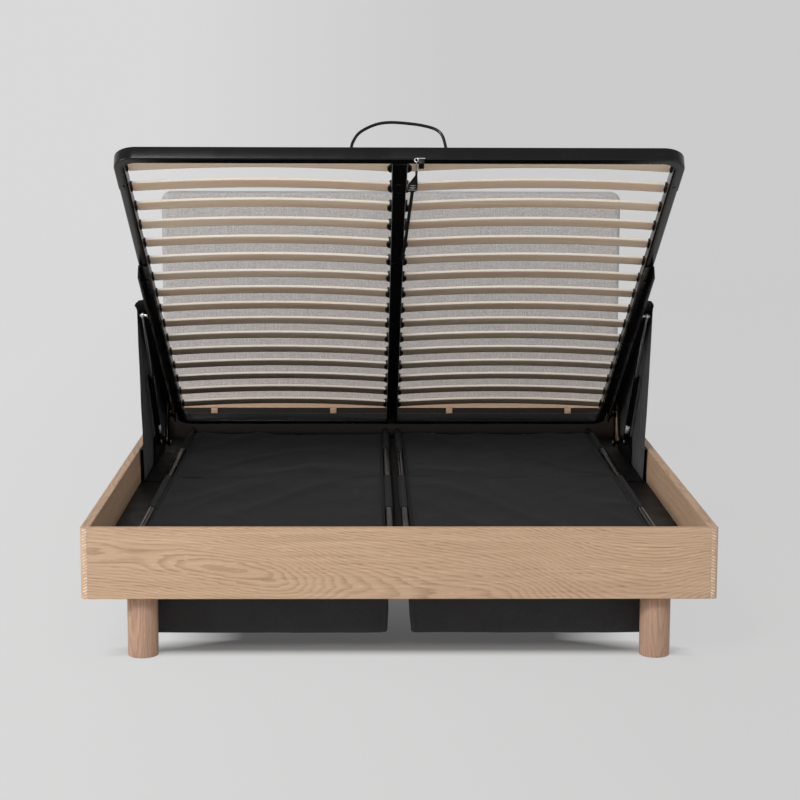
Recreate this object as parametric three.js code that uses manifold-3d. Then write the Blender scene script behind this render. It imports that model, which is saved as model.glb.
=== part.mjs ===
// Storage bed with a slatted platform that lifts on arms and gas struts, shown raised.
// Millimetres, +Z up. X runs across the bed, +Y points to the head end, the floor is z = 0.
import * as THREE from "three";
import { mergeVertices } from "three/addons/utils/BufferGeometryUtils.js";
import Module from "manifold-3d";

const wasm = await Module();
wasm.setup();

// Clearances
const SEAT = 0.3; // between pieces that rest on or against each other
const PIN_PLAY = 0.35; // radial play of an arm on its pin
const ROD_PLAY = 0.5; // radial play of the rod in its cylinder

// Surround
const BED_W = 1640;
const BOARD_T = 24;
// How far pieces keep in from the bed's sides
const INSET = {
  block: 192,
  leg: 151,
  rail: 117,
  bag: 116,
  ledge: 104,
  sideLedge: 101,
  plate: 85,
  platform: 75,
  cheek: 43,
};
const BOARD_Z0 = 168;
const BOARD_H = 186;
const BOARD_Z1 = BOARD_Z0 + BOARD_H;
const HEAD_IN_Y = 2064.3; // inner face of the head-end board
const HEAD_LEDGE = 110; // oak ledge between the head-end board and the headboard
const SURROUND_L = HEAD_IN_Y + HEAD_LEDGE;
const CORNER_W = 18; // solid corner strip
const CORNER_R = 16;
const EDGE = 1.5; // eased edges of the boards
const BLOCK_W = 22; // small oak blocks on the head-end board
const BLOCK_PROUD = 6;
const BLOCK_X = [206, BED_W / 2 - INSET.block];
const BLOCK_Z = [331, 352];

// Headboard
const PANEL_W = 1638;
const PANEL_T = 65;
const PANEL_TOP = 1112;
const PANEL_R = 34; // top corners
const PANEL_SOFT = 12; // padded edge
const BED_L = SURROUND_L + SEAT + PANEL_T;

// Legs
const LEG_R = 39.8;
const LEG_X = BED_W / 2 - INSET.leg;
const LEG_Y = 70;
const LEG_EASE = 3;
const LEG_H = BOARD_Z0;
const HEAD_LEG_Y = HEAD_IN_Y - 46;
const LEG_RAIL = { y: 91, h: 46 };

// Storage bags, their rails and the ledges that carry the rails
const RAIL_R = 10;
const RAIL_Z = 273;
const RAIL_X = [22, BED_W / 2 - INSET.rail];
const LEDGE = { w: 40, h: 44, t: 3, half: BED_W / 2 - INSET.ledge };
const LEDGE_Z = RAIL_Z - RAIL_R - SEAT;
const BAG = { x0: 24, x1: BED_W / 2 - INSET.bag, y0: 120, y1: 1968, z0: 50, t: 3 };
const BAG_TOP = RAIL_Z - RAIL_R - 0.7;
const LOOP_PLAY = 0.5; // between a loop and its rail
const LOOP_R = RAIL_R + 2;
const LOOP_SPANS = [
  [640, 1132],
  [1636, 1950],
];
const LID = { z: RAIL_Z + 1, t: 1.6, seam: 1150, lap: 26 };

// Raised platform: s runs from its free end down to the head end, n is square to it
const TILT = THREE.MathUtils.degToRad(29.04);
const FREE = { y: 178, z: 1288 };
const PLAT_L = 2010;
const PLAT_W = BED_W - 2 * INSET.platform;
const TUBE = { w: 27, h: 33, n0: 1.2 };
const FOOT = { w: 28.5, h: 36, leg: 180, r: 62 };
const FRAME_R = 52;
const REAR_CORNER = 89; // reach of a side tube's bend along the rear
const REAR_JOIN = PLAT_W / 2 - REAR_CORNER; // where the rear rail meets the side tubes
const SPINE = { w: 37, stub: 180, stubW: 41 };

// Slats
const ROWS = 16;
const ROW_S0 = 92.3;
const ROW_PITCH = 118.2;
const SLAT_INSET = 42; // from the platform's side to a slat's end
const SLAT = { w: 38, t: 8, n: 22, bow: 12, x0: 30, x1: PLAT_W / 2 - SLAT_INSET };
const HOLDER = { n0: 18, n1: 33, reach: 20, outer: 26, w: 56, bridge: 44 };

// Lift mechanism, one set each side
const SIDE_LEDGE = { x0: BED_W / 2 - INSET.sideLedge, z: 247, h: 30, t: 3 };
const PLATE = { x0: BED_W / 2 - INSET.plate, y0: 1205, y1: 1815, z: 250.3, t: 4, top: 350 };
const CHEEK = { x: BED_W / 2 - INSET.cheek, t: 4 };
const FRONT_BASE = [1560.285, 323.675];
const REAR_BASE = [1767.102, 277.909];
const STRUT_BASE = [1500, 324.8];
const FRONT_TOP = [1681, -10];
const REAR_TOP = [1827, -30];
const STRUT_TOP = [1005, -12];
const HANGER = { s0: 667, s1: 1880, n: -38, t: 4, w: 26, bolts: [766, 838] };
const BOSS_R = 8;
// How far pieces stand out from the platform's sides
const OUT = { frontArm: 5, rearArm: 12.6, strut: 21, rearBoss: 6.6, strutBoss: 7 };
const REAR_BOSS = PLAT_W / 2 + OUT.rearBoss;
const STRUT_BOSS = PLAT_W / 2 + OUT.strutBoss;
const ARM = { t: 5, r: 14, xFront: PLAT_W / 2 + OUT.frontArm, xRear: PLAT_W / 2 + OUT.rearArm };
const PIN = { r: 6, head: 9, headT: 1.5 };
const STRUT_X = PLAT_W / 2 + OUT.strut;
const EYE = { r: 11, w: 8 };
const CYL = { r: 10, from: 22, to: 352, bore: 62 };
const ROD = { r: 5, l: 380 };

// Side curtains
const CURTAIN = { t: 2, s0: 934, s1: 1884, n: 20, y0: 1211, y1: 1806, folds: 11, fold: 3 };

// Retainer bow and pull strap
const BOW = { x: 121, h: 62, r: 4, corner: 56 };
const STRAP = {
  line: [
    [35, 5],
    [35, 45],
    [22, 170],
    [4, 600],
  ],
  half: 12,
  n0: -2.8,
  n1: -0.6,
};

const root = new THREE.Group();
root.position.y = -BED_L / 2;
const platform = new THREE.Group();
platform.position.set(0, FREE.y, FREE.z);
platform.rotation.x = -TILT;
root.add(platform);

const finishes = {
  oak: { color: 0xc9a57b, roughness: 0.6, metalness: 0 },
  oakEdge: { color: 0xd8b48c, roughness: 0.6, metalness: 0 },
  timber: { color: 0xb08a5c, roughness: 0.75, metalness: 0 },
  birch: { color: 0xd8bd98, roughness: 0.55, metalness: 0 },
  steel: { color: 0x17181a, roughness: 0.38, metalness: 0.6 },
  bright: { color: 0xb9bcc0, roughness: 0.25, metalness: 0.9 },
  bagCloth: { color: 0x26272a, roughness: 0.95, metalness: 0 },
  webbing: { color: 0x1c1d20, roughness: 0.9, metalness: 0 },
  linen: { color: 0xb4b4b2, roughness: 0.95, metalness: 0 },
};

function add(parent, name, geometry, finish, side = 1) {
  const mesh = new THREE.Mesh(
    geometry,
    new THREE.MeshStandardMaterial(finishes[finish]),
  );
  mesh.name = name;
  mesh.scale.x = side;
  parent.add(mesh);
}

// Booleans
function solid(geometry) {
  const g = geometry.index ? geometry.toNonIndexed() : geometry;
  const bare = new THREE.BufferGeometry();
  bare.setAttribute("position", g.getAttribute("position"));
  const merged = mergeVertices(bare, 1e-3);
  return new wasm.Manifold(
    new wasm.Mesh({
      numProp: 3,
      vertProperties: merged.attributes.position.array,
      triVerts: new Uint32Array(merged.index.array),
    }),
  );
}

function geometryOf(manifold) {
  const m = manifold.getMesh();
  const g = new THREE.BufferGeometry();
  g.setAttribute("position", new THREE.BufferAttribute(m.vertProperties, 3));
  g.setIndex(new THREE.BufferAttribute(m.triVerts, 1));
  return g;
}

const union = (...parts) => geometryOf(parts.map(solid).reduce((a, b) => a.add(b)));
const cut = (base, ...tools) =>
  geometryOf(tools.map(solid).reduce((a, b) => a.subtract(b), solid(base)));

// Shapes
function box(x0, x1, y0, y1, z0, z1) {
  const g = new THREE.BoxGeometry(Math.abs(x1 - x0), y1 - y0, z1 - z0);
  return g.translate((x0 + x1) / 2, (y0 + y1) / 2, (z0 + z1) / 2);
}

function polygon(points) {
  return new THREE.Shape(points.map(([a, b]) => new THREE.Vector2(a, b)));
}

// An outline in Y and Z drawn out along X
function alongX(shape, x0, x1) {
  const g = new THREE.ExtrudeGeometry(shape, {
    depth: x1 - x0,
    bevelEnabled: false,
    curveSegments: 8,
  });
  const turn = new THREE.Matrix4().makeBasis(
    new THREE.Vector3(0, 1, 0),
    new THREE.Vector3(0, 0, 1),
    new THREE.Vector3(1, 0, 0),
  );
  return g.applyMatrix4(turn).translate(x0, 0, 0);
}

// An outline in X and Z drawn out along Y
function alongY(shape, y0, y1) {
  const g = new THREE.ExtrudeGeometry(shape, {
    depth: y1 - y0,
    bevelEnabled: false,
    curveSegments: 8,
  });
  return g.rotateX(Math.PI / 2).translate(0, y1, 0);
}

function alongZ(shape, z0, z1, segments = 8) {
  const g = new THREE.ExtrudeGeometry(shape, {
    depth: z1 - z0,
    bevelEnabled: false,
    curveSegments: segments,
  });
  return g.translate(0, 0, z0);
}

// A round bar between two points
function bar(a, b, radius, sides = 16) {
  const from = new THREE.Vector3(...a);
  const to = new THREE.Vector3(...b);
  const span = to.clone().sub(from);
  const g = new THREE.CylinderGeometry(radius, radius, span.length(), sides);
  const turn = new THREE.Quaternion().setFromUnitVectors(
    new THREE.Vector3(0, 1, 0),
    span.clone().normalize(),
  );
  return g.applyQuaternion(turn).translate(...from.add(to).divideScalar(2));
}

// A polyline path with mitred joints for a section swept along it
class Route extends THREE.Curve {
  constructor(points) {
    super();
    this.points = points.map((p) => new THREE.Vector3(...p));
  }
  at(u) {
    return Math.min(this.points.length - 1, Math.round(u * (this.points.length - 1)));
  }
  getPoint(u) {
    return this.points[this.at(u)].clone();
  }
  getSpacedPoints() {
    return this.points.map((p) => p.clone());
  }
  getTangentAt(u, target = new THREE.Vector3()) {
    const i = this.at(u);
    const last = this.points.length - 1;
    const way = (k) => this.points[k + 1].clone().sub(this.points[k]).normalize();
    return target
      .copy(way(Math.max(0, i - 1)))
      .add(way(Math.min(last - 1, i)))
      .normalize();
  }
}

function sweep(points, shape, segments = 8) {
  return new THREE.ExtrudeGeometry(shape, {
    steps: points.length - 1,
    extrudePath: new Route(points),
    bevelEnabled: false,
    curveSegments: segments,
  });
}

function disc(radius) {
  return new THREE.Shape().absarc(0, 0, radius, 0, 2 * Math.PI);
}

// A rectangular tube's outline with small rounded edges, height first
function tubeSection(height, width, r = 3) {
  const a = height / 2;
  const b = width / 2;
  return polygon([
    [-a + r, -b],
    [a - r, -b],
    [a - r * 0.3, -b + r * 0.3],
    [a, -b + r],
    [a, b - r],
    [a - r * 0.3, b - r * 0.3],
    [a - r, b],
    [-a + r, b],
    [-a + r * 0.3, b - r * 0.3],
    [-a, b - r],
    [-a, -b + r],
    [-a + r * 0.3, -b + r * 0.3],
  ]);
}

// Corner arc of a path, as points
function arc(cx, cy, r, from, to, count) {
  const points = [];
  for (let i = 0; i <= count; i++) {
    const a = THREE.MathUtils.degToRad(from + ((to - from) * i) / count);
    points.push([cx + r * Math.cos(a), cy + r * Math.sin(a)]);
  }
  return points;
}

const sides = [
  ["left", -1],
  ["right", 1],
];

// Surround boards with eased long edges
const half = BED_W / 2;
const innerHalf = half - BOARD_T - SEAT;
const footHalf = half - CORNER_W - SEAT;
const boardSection = (a0, a1) =>
  polygon([
    [a0, BOARD_Z0 + EDGE],
    [a0 + EDGE, BOARD_Z0],
    [a1 - EDGE, BOARD_Z0],
    [a1, BOARD_Z0 + EDGE],
    [a1, BOARD_Z1 - EDGE],
    [a1 - EDGE, BOARD_Z1],
    [a0 + EDGE, BOARD_Z1],
    [a0, BOARD_Z1 - EDGE],
  ]);
add(root, "foot_board", alongX(boardSection(0, BOARD_T), -footHalf, footHalf), "oak");
for (const [name, side] of sides) {
  const strip = new THREE.Shape()
    .moveTo(half - CORNER_W, 0)
    .lineTo(half - CORNER_R, 0)
    .absarc(half - CORNER_R, CORNER_R, CORNER_R, -Math.PI / 2, 0)
    .lineTo(half, BOARD_T)
    .lineTo(half - CORNER_W, BOARD_T);
  const board = alongY(
    boardSection(half - BOARD_T, half),
    BOARD_T + SEAT,
    SURROUND_L,
  );
  add(root, `corner_strip_${name}`, alongZ(strip, BOARD_Z0, BOARD_Z1), "oakEdge", side);
  add(root, `side_board_${name}`, board, "oak", side);
}
const headSection = polygon([
  [HEAD_IN_Y, BOARD_Z0],
  [HEAD_IN_Y + BOARD_T, BOARD_Z0],
  [HEAD_IN_Y + BOARD_T, BOARD_Z1 - BOARD_T],
  [SURROUND_L, BOARD_Z1 - BOARD_T],
  [SURROUND_L, BOARD_Z1],
  [HEAD_IN_Y + EDGE, BOARD_Z1],
  [HEAD_IN_Y, BOARD_Z1 - EDGE],
]);
const headBlocks = BLOCK_X.flatMap((x) => [-x, x]).map((x) =>
  box(x - BLOCK_W / 2, x + BLOCK_W / 2, HEAD_IN_Y - BLOCK_PROUD, HEAD_IN_Y + 1, ...BLOCK_Z),
);
add(
  root,
  "head_end_board",
  union(alongX(headSection, -innerHalf, innerHalf), ...headBlocks),
  "oak",
);

// Upholstered headboard behind the head-end board
function headboardPanel() {
  const w = PANEL_W / 2 - PANEL_SOFT;
  const z1 = PANEL_TOP - PANEL_SOFT;
  const r = PANEL_R - PANEL_SOFT;
  const shape = new THREE.Shape()
    .moveTo(-w, BOARD_Z0 + PANEL_SOFT)
    .lineTo(w, BOARD_Z0 + PANEL_SOFT)
    .lineTo(w, z1 - r)
    .absarc(w - r, z1 - r, r, 0, Math.PI / 2)
    .lineTo(-w + r, z1)
    .absarc(-w + r, z1 - r, r, Math.PI / 2, Math.PI);
  const g = new THREE.ExtrudeGeometry(shape, {
    depth: PANEL_T - 2 * PANEL_SOFT,
    bevelThickness: PANEL_SOFT,
    bevelSize: PANEL_SOFT,
    bevelSegments: 4,
    curveSegments: 6,
  });
  return g.rotateX(Math.PI / 2).translate(0, BED_L - PANEL_SOFT, 0);
}
add(root, "headboard", headboardPanel(), "linen");

// Legs and the timber rails they screw into, one rail at each end
const legProfile = [
  [0, 0],
  [LEG_R - LEG_EASE, 0],
  [LEG_R - LEG_EASE * 0.3, LEG_EASE * 0.3],
  [LEG_R, LEG_EASE],
  [LEG_R, LEG_H],
  [0, LEG_H],
].map(([r, z]) => new THREE.Vector2(r, z));
for (const [end, legY, railY] of [
  ["foot", LEG_Y, BOARD_T + SEAT],
  ["head", HEAD_LEG_Y, HEAD_IN_Y - SEAT - LEG_RAIL.y],
]) {
  const z0 = LEG_H + SEAT;
  const rail = box(-innerHalf, innerHalf, railY, railY + LEG_RAIL.y, z0, z0 + LEG_RAIL.h);
  add(root, `leg_rail_${end}`, rail, "timber");
  for (const [name, side] of sides) {
    const leg = new THREE.LatheGeometry(legProfile, 32).rotateX(Math.PI / 2);
    add(root, `leg_${end}_${name}`, leg.translate(LEG_X, legY, 0), "oak", side);
  }
}

// Steel ledges on the end boards, and the bag rails that rest on them
const ledgeY = { foot: BOARD_T + SEAT, head: HEAD_IN_Y - SEAT };
function ledge(y, dir) {
  const outline = [
    [0, 0],
    [LEDGE.w, 0],
    [LEDGE.w, LEDGE.t],
    [LEDGE.t, LEDGE.t],
    [LEDGE.t, LEDGE.h],
    [0, LEDGE.h],
  ].map(([a, down]) => [y + dir * a, LEDGE_Z - down]);
  return alongX(polygon(outline), -LEDGE.half, LEDGE.half);
}
add(root, "bag_ledge_foot", ledge(ledgeY.foot, 1), "steel");
add(root, "bag_ledge_head", ledge(ledgeY.head, -1), "steel");
for (const [name, side] of sides) {
  for (const [place, x] of [
    ["inner", RAIL_X[0]],
    ["outer", RAIL_X[1]],
  ]) {
    const rail = bar([x, ledgeY.foot + 2, RAIL_Z], [x, ledgeY.head - 2, RAIL_Z], RAIL_R);
    add(root, `bag_rail_${place}_${name}`, rail, "steel", side);
  }
}

// Cloth bags hung on the rails by sewn loops, and their lids in two laps
const lidX = [RAIL_X[0] + LOOP_R + SEAT, RAIL_X[1] - LOOP_R - SEAT];
function bag() {
  const { x0, x1, y0, y1, z0, t } = BAG;
  const shell = cut(
    box(x0, x1, y0, y1, z0, BAG_TOP),
    box(x0 + t, x1 - t, y0 + t, y1 - t, z0 + t, BAG_TOP + 1),
  );
  const ends = [y0, y1 - t].map((y) => box(...lidX, y, y + t, z0 + t, LID.z - SEAT));
  const loops = RAIL_X.flatMap((x) =>
    LOOP_SPANS.map(([a, b]) =>
      cut(
        bar([x, a, RAIL_Z], [x, b, RAIL_Z], LOOP_R, 20),
        bar([x, a - 1, RAIL_Z], [x, b + 1, RAIL_Z], RAIL_R + LOOP_PLAY, 20),
      ),
    ),
  );
  return union(shell, ...ends, ...loops);
}
function lid() {
  const { z, t, seam, lap } = LID;
  return union(
    box(...lidX, BAG.y0, seam, z, z + t),
    box(...lidX, seam - lap, BAG.y1, z + t - 0.4, z + 2 * t - 0.4),
  );
}
for (const [name, side] of sides) {
  add(root, `storage_bag_${name}`, bag(), "bagCloth", side);
  add(root, `bag_lid_${name}`, lid(), "bagCloth", side);
}

// A point of the platform (s, n) in the bed's frame (Y, Z), as raised
const raised = ([s, n]) => [
  FREE.y + s * Math.cos(TILT) + n * Math.sin(TILT),
  FREE.z - s * Math.sin(TILT) + n * Math.cos(TILT),
];

// Round piece across the bed from x0 to x1
const peg = (x0, x1, [a, b], r, count = 20) => bar([x0, a, b], [x1, a, b], r, count);
const pinHole = (x0, x1, at) => peg(x0 - 1, x1 + 1, at, PIN.r + PIN_PLAY, 24);

// Base bracket: side ledge along the board, wall plate, base plate and upright cheek with its three pins
function sideLedge() {
  const { x0, z, h, t } = SIDE_LEDGE;
  const angle = polygon([
    [innerHalf, z],
    [x0, z],
    [x0, z - t],
    [innerHalf - t, z - t],
    [innerHalf - t, z - h],
    [innerHalf, z - h],
  ]);
  return alongY(angle, ledgeY.foot, ledgeY.head);
}
function baseBracket() {
  const [sy, sz] = STRUT_BASE;
  const [fy, fz] = FRONT_BASE;
  const [ry, rz] = REAR_BASE;
  const cheek = polygon([
    [sy - 26, PLATE.z - 2],
    [ry + 26, PLATE.z - 2],
    [ry + 26, rz + 8],
    [ry + 14, rz + 20],
    [fy + 60, fz + 6],
    [fy + 14, fz + 20],
    [sy - 14, sz + 19],
    [sy - 26, sz + 8],
  ]);
  const pin = (at, x) => [
    peg(x, CHEEK.x + 1, at, PIN.r),
    peg(x, x + PIN.headT, at, PIN.head),
  ];
  return union(
    sideLedge(),
    box(innerHalf - PLATE.t, innerHalf, PLATE.y0, PLATE.y1, PLATE.z - PLATE.t, PLATE.top),
    box(PLATE.x0, innerHalf, PLATE.y0, PLATE.y1, PLATE.z - PLATE.t, PLATE.z),
    alongX(cheek, CHEEK.x, CHEEK.x + CHEEK.t),
    ...pin(FRONT_BASE, ARM.xFront - SEAT - PIN.headT),
    ...pin(REAR_BASE, ARM.xRear - SEAT - PIN.headT),
    ...pin(STRUT_BASE, STRUT_X - EYE.w / 2 - SEAT - PIN.headT),
  );
}

// Hanger: steel angle under each side tube, with the pin for the front arm
const tubeOut = PLAT_W / 2;
function hanger() {
  const x0 = tubeOut - HANGER.w;
  const web = tubeOut - HANGER.t;
  const top = TUBE.n0 - SEAT;
  const pinEnd = ARM.xFront + ARM.t + SEAT + PIN.headT;
  return union(
    box(web, tubeOut, HANGER.s0, HANGER.s1, HANGER.n, top),
    box(x0, tubeOut, HANGER.s0, HANGER.s1, top - HANGER.t, top),
    peg(web, tubeOut, REAR_TOP, ARM.r),
    peg(tubeOut - 1, pinEnd, FRONT_TOP, PIN.r),
    peg(pinEnd - PIN.headT, pinEnd, FRONT_TOP, PIN.head),
    peg(tubeOut - 1, REAR_BOSS, REAR_TOP, BOSS_R),
    peg(tubeOut - 1, STRUT_BOSS, STRUT_TOP, BOSS_R),
    ...HANGER.bolts.map((s) =>
      bar([x0 + 13, s, top - HANGER.t - 4.5], [x0 + 13, s, top - 1], 7, 6),
    ),
  );
}

// A flat arm between two points in Y and Z, round at both ends
function arm([ay, az], [by, bz], x0) {
  const way = Math.atan2(bz - az, by - ay);
  const right = Math.PI / 2;
  const shape = new THREE.Shape()
    .absarc(by, bz, ARM.r, way - right, way + right)
    .absarc(ay, az, ARM.r, way + right, way + 3 * right);
  return alongX(shape, x0, x0 + ARM.t);
}
function frontArm() {
  const top = raised(FRONT_TOP);
  const x0 = ARM.xFront;
  const x1 = x0 + ARM.t;
  return cut(arm(FRONT_BASE, top, x0), pinHole(x0, x1, FRONT_BASE), pinHole(x0, x1, top));
}
function rearArm() {
  const top = raised(REAR_TOP);
  const x0 = ARM.xRear;
  const x1 = x0 + ARM.t;
  return union(
    cut(arm(REAR_BASE, top, x0), pinHole(x0, x1, REAR_BASE)),
    peg(REAR_BOSS + SEAT, x1 + 3, top, PIN.r),
    peg(x1 - 1, x1 + 3, top, PIN.head),
  );
}

// Gas strut: cylinder on the bracket pin, rod bolted to the hanger
const strutTop = raised(STRUT_TOP);
const strutL = Math.hypot(strutTop[0] - STRUT_BASE[0], strutTop[1] - STRUT_BASE[1]);
const alongStrut = (q) => [
  STRUT_X,
  STRUT_BASE[0] + ((strutTop[0] - STRUT_BASE[0]) * q) / strutL,
  STRUT_BASE[1] + ((strutTop[1] - STRUT_BASE[1]) * q) / strutL,
];
const eyeX = [STRUT_X - EYE.w / 2, STRUT_X + EYE.w / 2];
function strutCylinder() {
  const outer = union(
    peg(...eyeX, STRUT_BASE, EYE.r),
    bar(alongStrut(PIN.head + 1), alongStrut(CYL.from + 1), PIN.r),
    bar(alongStrut(CYL.from), alongStrut(CYL.to), CYL.r, 20),
  );
  const bore = bar(
    alongStrut(CYL.bore),
    alongStrut(CYL.to + 1),
    ROD.r + ROD_PLAY,
    20,
  );
  return cut(outer, pinHole(...eyeX, STRUT_BASE), bore);
}
function strutRod() {
  return union(
    bar(alongStrut(strutL - ROD.l), alongStrut(strutL - 6), ROD.r),
    peg(...eyeX, strutTop, EYE.r),
    peg(STRUT_BOSS + SEAT, eyeX[1] + 4, strutTop, ROD.r),
    peg(eyeX[1] - 1, eyeX[1] + 4, strutTop, 8),
  );
}

// Cloth curtain from the side tube out over the strut and down to the base plate
function curtain() {
  const { t, s0, s1, n, y0, y1, folds, fold } = CURTAIN;
  const hem = tubeOut + SEAT + t / 2;
  const columns = folds * 2;
  const position = [];
  for (let i = 0; i <= columns; i++) {
    const u = i / columns;
    const top = raised([s0 + (s1 - s0) * u, n]);
    const low = [y0 + (y1 - y0) * u, PLATE.z + SEAT];
    const l = Math.hypot(low[0] - top[0], low[1] - top[1]);
    const wave = fold * (0.5 - 0.5 * Math.cos(2 * Math.PI * folds * u));
    const below = (f) => 60 + (l - 60) * f;
    const line = [
      [hem, 0],
      [hem, 8],
      [hem + 6, 11],
      [hem + 26, 14],
      [CHEEK.x + 2, 20],
      [CHEEK.x + 7 + wave / 2, 60],
      [CHEEK.x + 7.5 + wave, below(0.35)],
      [CHEEK.x + 8 + wave, below(0.7)],
      [CHEEK.x + 8 + wave, l],
    ];
    for (const sign of [-1, 1]) {
      line.forEach(([x, q], j) => {
        const [xa, qa] = line[Math.max(0, j - 1)];
        const [xb, qb] = line[Math.min(line.length - 1, j + 1)];
        const turn = Math.atan2(xb - xa, qb - qa);
        const out = (sign * t) / 2;
        const down = j === 0 || j === line.length - 1 ? q : q - out * Math.sin(turn);
        position.push(
          x + out * Math.cos(turn),
          top[0] + ((low[0] - top[0]) * down) / l,
          top[1] + ((low[1] - top[1]) * down) / l,
        );
      });
    }
  }
  return closedSheet(position, columns, 8);
}

// Solid between an inner and an outer grid of points, stored column by column
function closedSheet(position, columns, rows) {
  const index = [];
  const at = (i, layer, j) => (i * 2 + layer) * (rows + 1) + j;
  const quad = (a, b, c, d) => index.push(a, c, b, a, d, c);
  for (let i = 0; i < columns; i++) {
    for (let j = 0; j < rows; j++) {
      quad(at(i, 0, j), at(i, 0, j + 1), at(i + 1, 0, j + 1), at(i + 1, 0, j));
      quad(at(i, 1, j), at(i + 1, 1, j), at(i + 1, 1, j + 1), at(i, 1, j + 1));
    }
    quad(at(i, 0, 0), at(i + 1, 0, 0), at(i + 1, 1, 0), at(i, 1, 0));
    quad(at(i, 0, rows), at(i, 1, rows), at(i + 1, 1, rows), at(i + 1, 0, rows));
  }
  for (let j = 0; j < rows; j++) {
    quad(at(0, 0, j), at(0, 1, j), at(0, 1, j + 1), at(0, 0, j + 1));
    quad(at(columns, 0, j), at(columns, 0, j + 1), at(columns, 1, j + 1), at(columns, 1, j));
  }
  const g = new THREE.BufferGeometry();
  g.setAttribute("position", new THREE.Float32BufferAttribute(position, 3));
  g.setIndex(index);
  return g;
}

for (const [name, side] of sides) {
  add(root, `base_bracket_${name}`, baseBracket(), "steel", side);
  add(root, `front_arm_${name}`, frontArm(), "steel", side);
  add(root, `rear_arm_${name}`, rearArm(), "steel", side);
  add(root, `strut_cylinder_${name}`, strutCylinder(), "steel", side);
  add(root, `strut_rod_${name}`, strutRod(), "bright", side);
  add(root, `curtain_${name}`, curtain(), "bagCloth", side);
  add(platform, `hanger_${name}`, hanger(), "steel", side);
}

// Foot rail with bent corners, sleeves and the stub of the centre rail
function footRail() {
  const x = PLAT_W / 2 - FOOT.w / 2;
  const y = FOOT.w / 2;
  const r = FOOT.r - FOOT.w / 2;
  const path = [
    [-x, FOOT.leg],
    ...arc(-x + r, y + r, r, 180, 270, 10),
    ...arc(x - r, y + r, r, 270, 360, 10),
    [x, FOOT.leg],
  ].map(([px, py]) => [px, py, FOOT.h / 2]);
  const stub = sweep(
    [
      [0, FOOT.w / 2, FOOT.h / 2],
      [0, SPINE.stub, FOOT.h / 2],
    ],
    tubeSection(FOOT.h, SPINE.stubW),
  );
  return union(sweep(path, tubeSection(FOOT.h, FOOT.w)), stub);
}
add(platform, "foot_rail", footRail(), "steel");

// Side tubes, each bent in at the head end, and the straight rear rail between them
const tubeIn = tubeOut - 1.5 - TUBE.w;
const tubeMid = TUBE.n0 + TUBE.h / 2;
const rearS = PLAT_L - TUBE.w / 2;
function sideTube() {
  const x = tubeIn + TUBE.w / 2;
  const r = FRAME_R - TUBE.w / 2;
  const path = [
    [REAR_JOIN + SEAT, rearS],
    ...arc(x - r, rearS - r, r, 90, 0, 10),
    [x, FOOT.leg + SEAT],
  ].map(([px, py]) => [px, py, tubeMid]);
  return sweep(path, tubeSection(TUBE.h, TUBE.w));
}
for (const [name, side] of sides) {
  add(platform, `side_tube_${name}`, sideTube(), "steel", side);
}
const rearRail = sweep(
  [
    [-REAR_JOIN, rearS, tubeMid],
    [REAR_JOIN, rearS, tubeMid],
  ],
  tubeSection(TUBE.h, TUBE.w),
);
add(platform, "rear_rail", rearRail, "steel");
const spine = sweep(
  [
    [0, SPINE.stub + SEAT, tubeMid],
    [0, PLAT_L - TUBE.w - SEAT, tubeMid],
  ],
  tubeSection(TUBE.h, SPINE.w),
);
add(platform, "centre_rail", spine, "steel");

// One row of the slatted base: two bowed slats in their plastic holders
function slatRow(s, bridgeN) {
  const { w, t, n, bow, x0, x1 } = SLAT;
  const rise = (x) => bow * (1 - ((2 * x - x0 - x1) / (x1 - x0)) ** 2);
  const stations = Array.from({ length: 13 }, (_, i) => x0 + ((x1 - x0) * i) / 12);
  const outline = [
    ...stations.map((x) => [x, n + rise(x)]),
    ...stations.toReversed().map((x) => [x, n + t + rise(x)]),
  ];
  const holder = (a, b, n0, n1, long) =>
    alongZ(
      polygon([
        [a, s - long / 2 + 4],
        [a + 4, s - long / 2],
        [b - 4, s - long / 2],
        [b, s - long / 2 + 4],
        [b, s + long / 2 - 4],
        [b - 4, s + long / 2],
        [a + 4, s + long / 2],
        [a, s + long / 2 - 4],
      ]),
      n0,
      n1,
    );
  const pieces = [holder(-HOLDER.bridge, HOLDER.bridge, bridgeN, bridgeN + 3, w)];
  for (const flip of [-1, 1]) {
    const slat = outline.map(([x, z]) => [flip * x, z]);
    if (flip < 0) slat.reverse();
    const centre = [SPINE.stubW / 2 + SEAT, SPINE.w / 2 + HOLDER.reach];
    const outer = [tubeIn - SEAT - HOLDER.outer, tubeIn - SEAT];
    pieces.push(alongY(polygon(slat), s - w / 2, s + w / 2));
    for (const [ends, n1] of [
      [centre, bridgeN + 1],
      [outer, HOLDER.n1],
    ]) {
      const [a, b] = ends.map((x) => flip * x).sort((p, q) => p - q);
      pieces.push(holder(a, b, HOLDER.n0, n1, HOLDER.w));
    }
  }
  return union(...pieces);
}
for (let k = 0; k < ROWS; k++) {
  const number = String(k + 1).padStart(2, "0");
  const s = ROW_S0 + k * ROW_PITCH;
  const bridgeN = (s < SPINE.stub ? FOOT.h : TUBE.n0 + TUBE.h) + SEAT;
  add(platform, `slat_row_${number}`, slatRow(s, bridgeN), "birch");
}

// Bow that keeps the mattress in place, standing on the foot rail
const bowPath = [
  [-BOW.x, FOOT.h + SEAT],
  ...arc(-BOW.x + BOW.corner, FOOT.h + BOW.h - BOW.corner, BOW.corner, 180, 92, 8),
  [0, FOOT.h + BOW.h + 2],
  ...arc(BOW.x - BOW.corner, FOOT.h + BOW.h - BOW.corner, BOW.corner, 88, 0, 8),
  [BOW.x, FOOT.h + SEAT],
].map(([x, z]) => [x, FOOT.w / 2, z]);
add(platform, "retainer_bow", sweep(bowPath, disc(BOW.r), 5), "steel");

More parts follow.
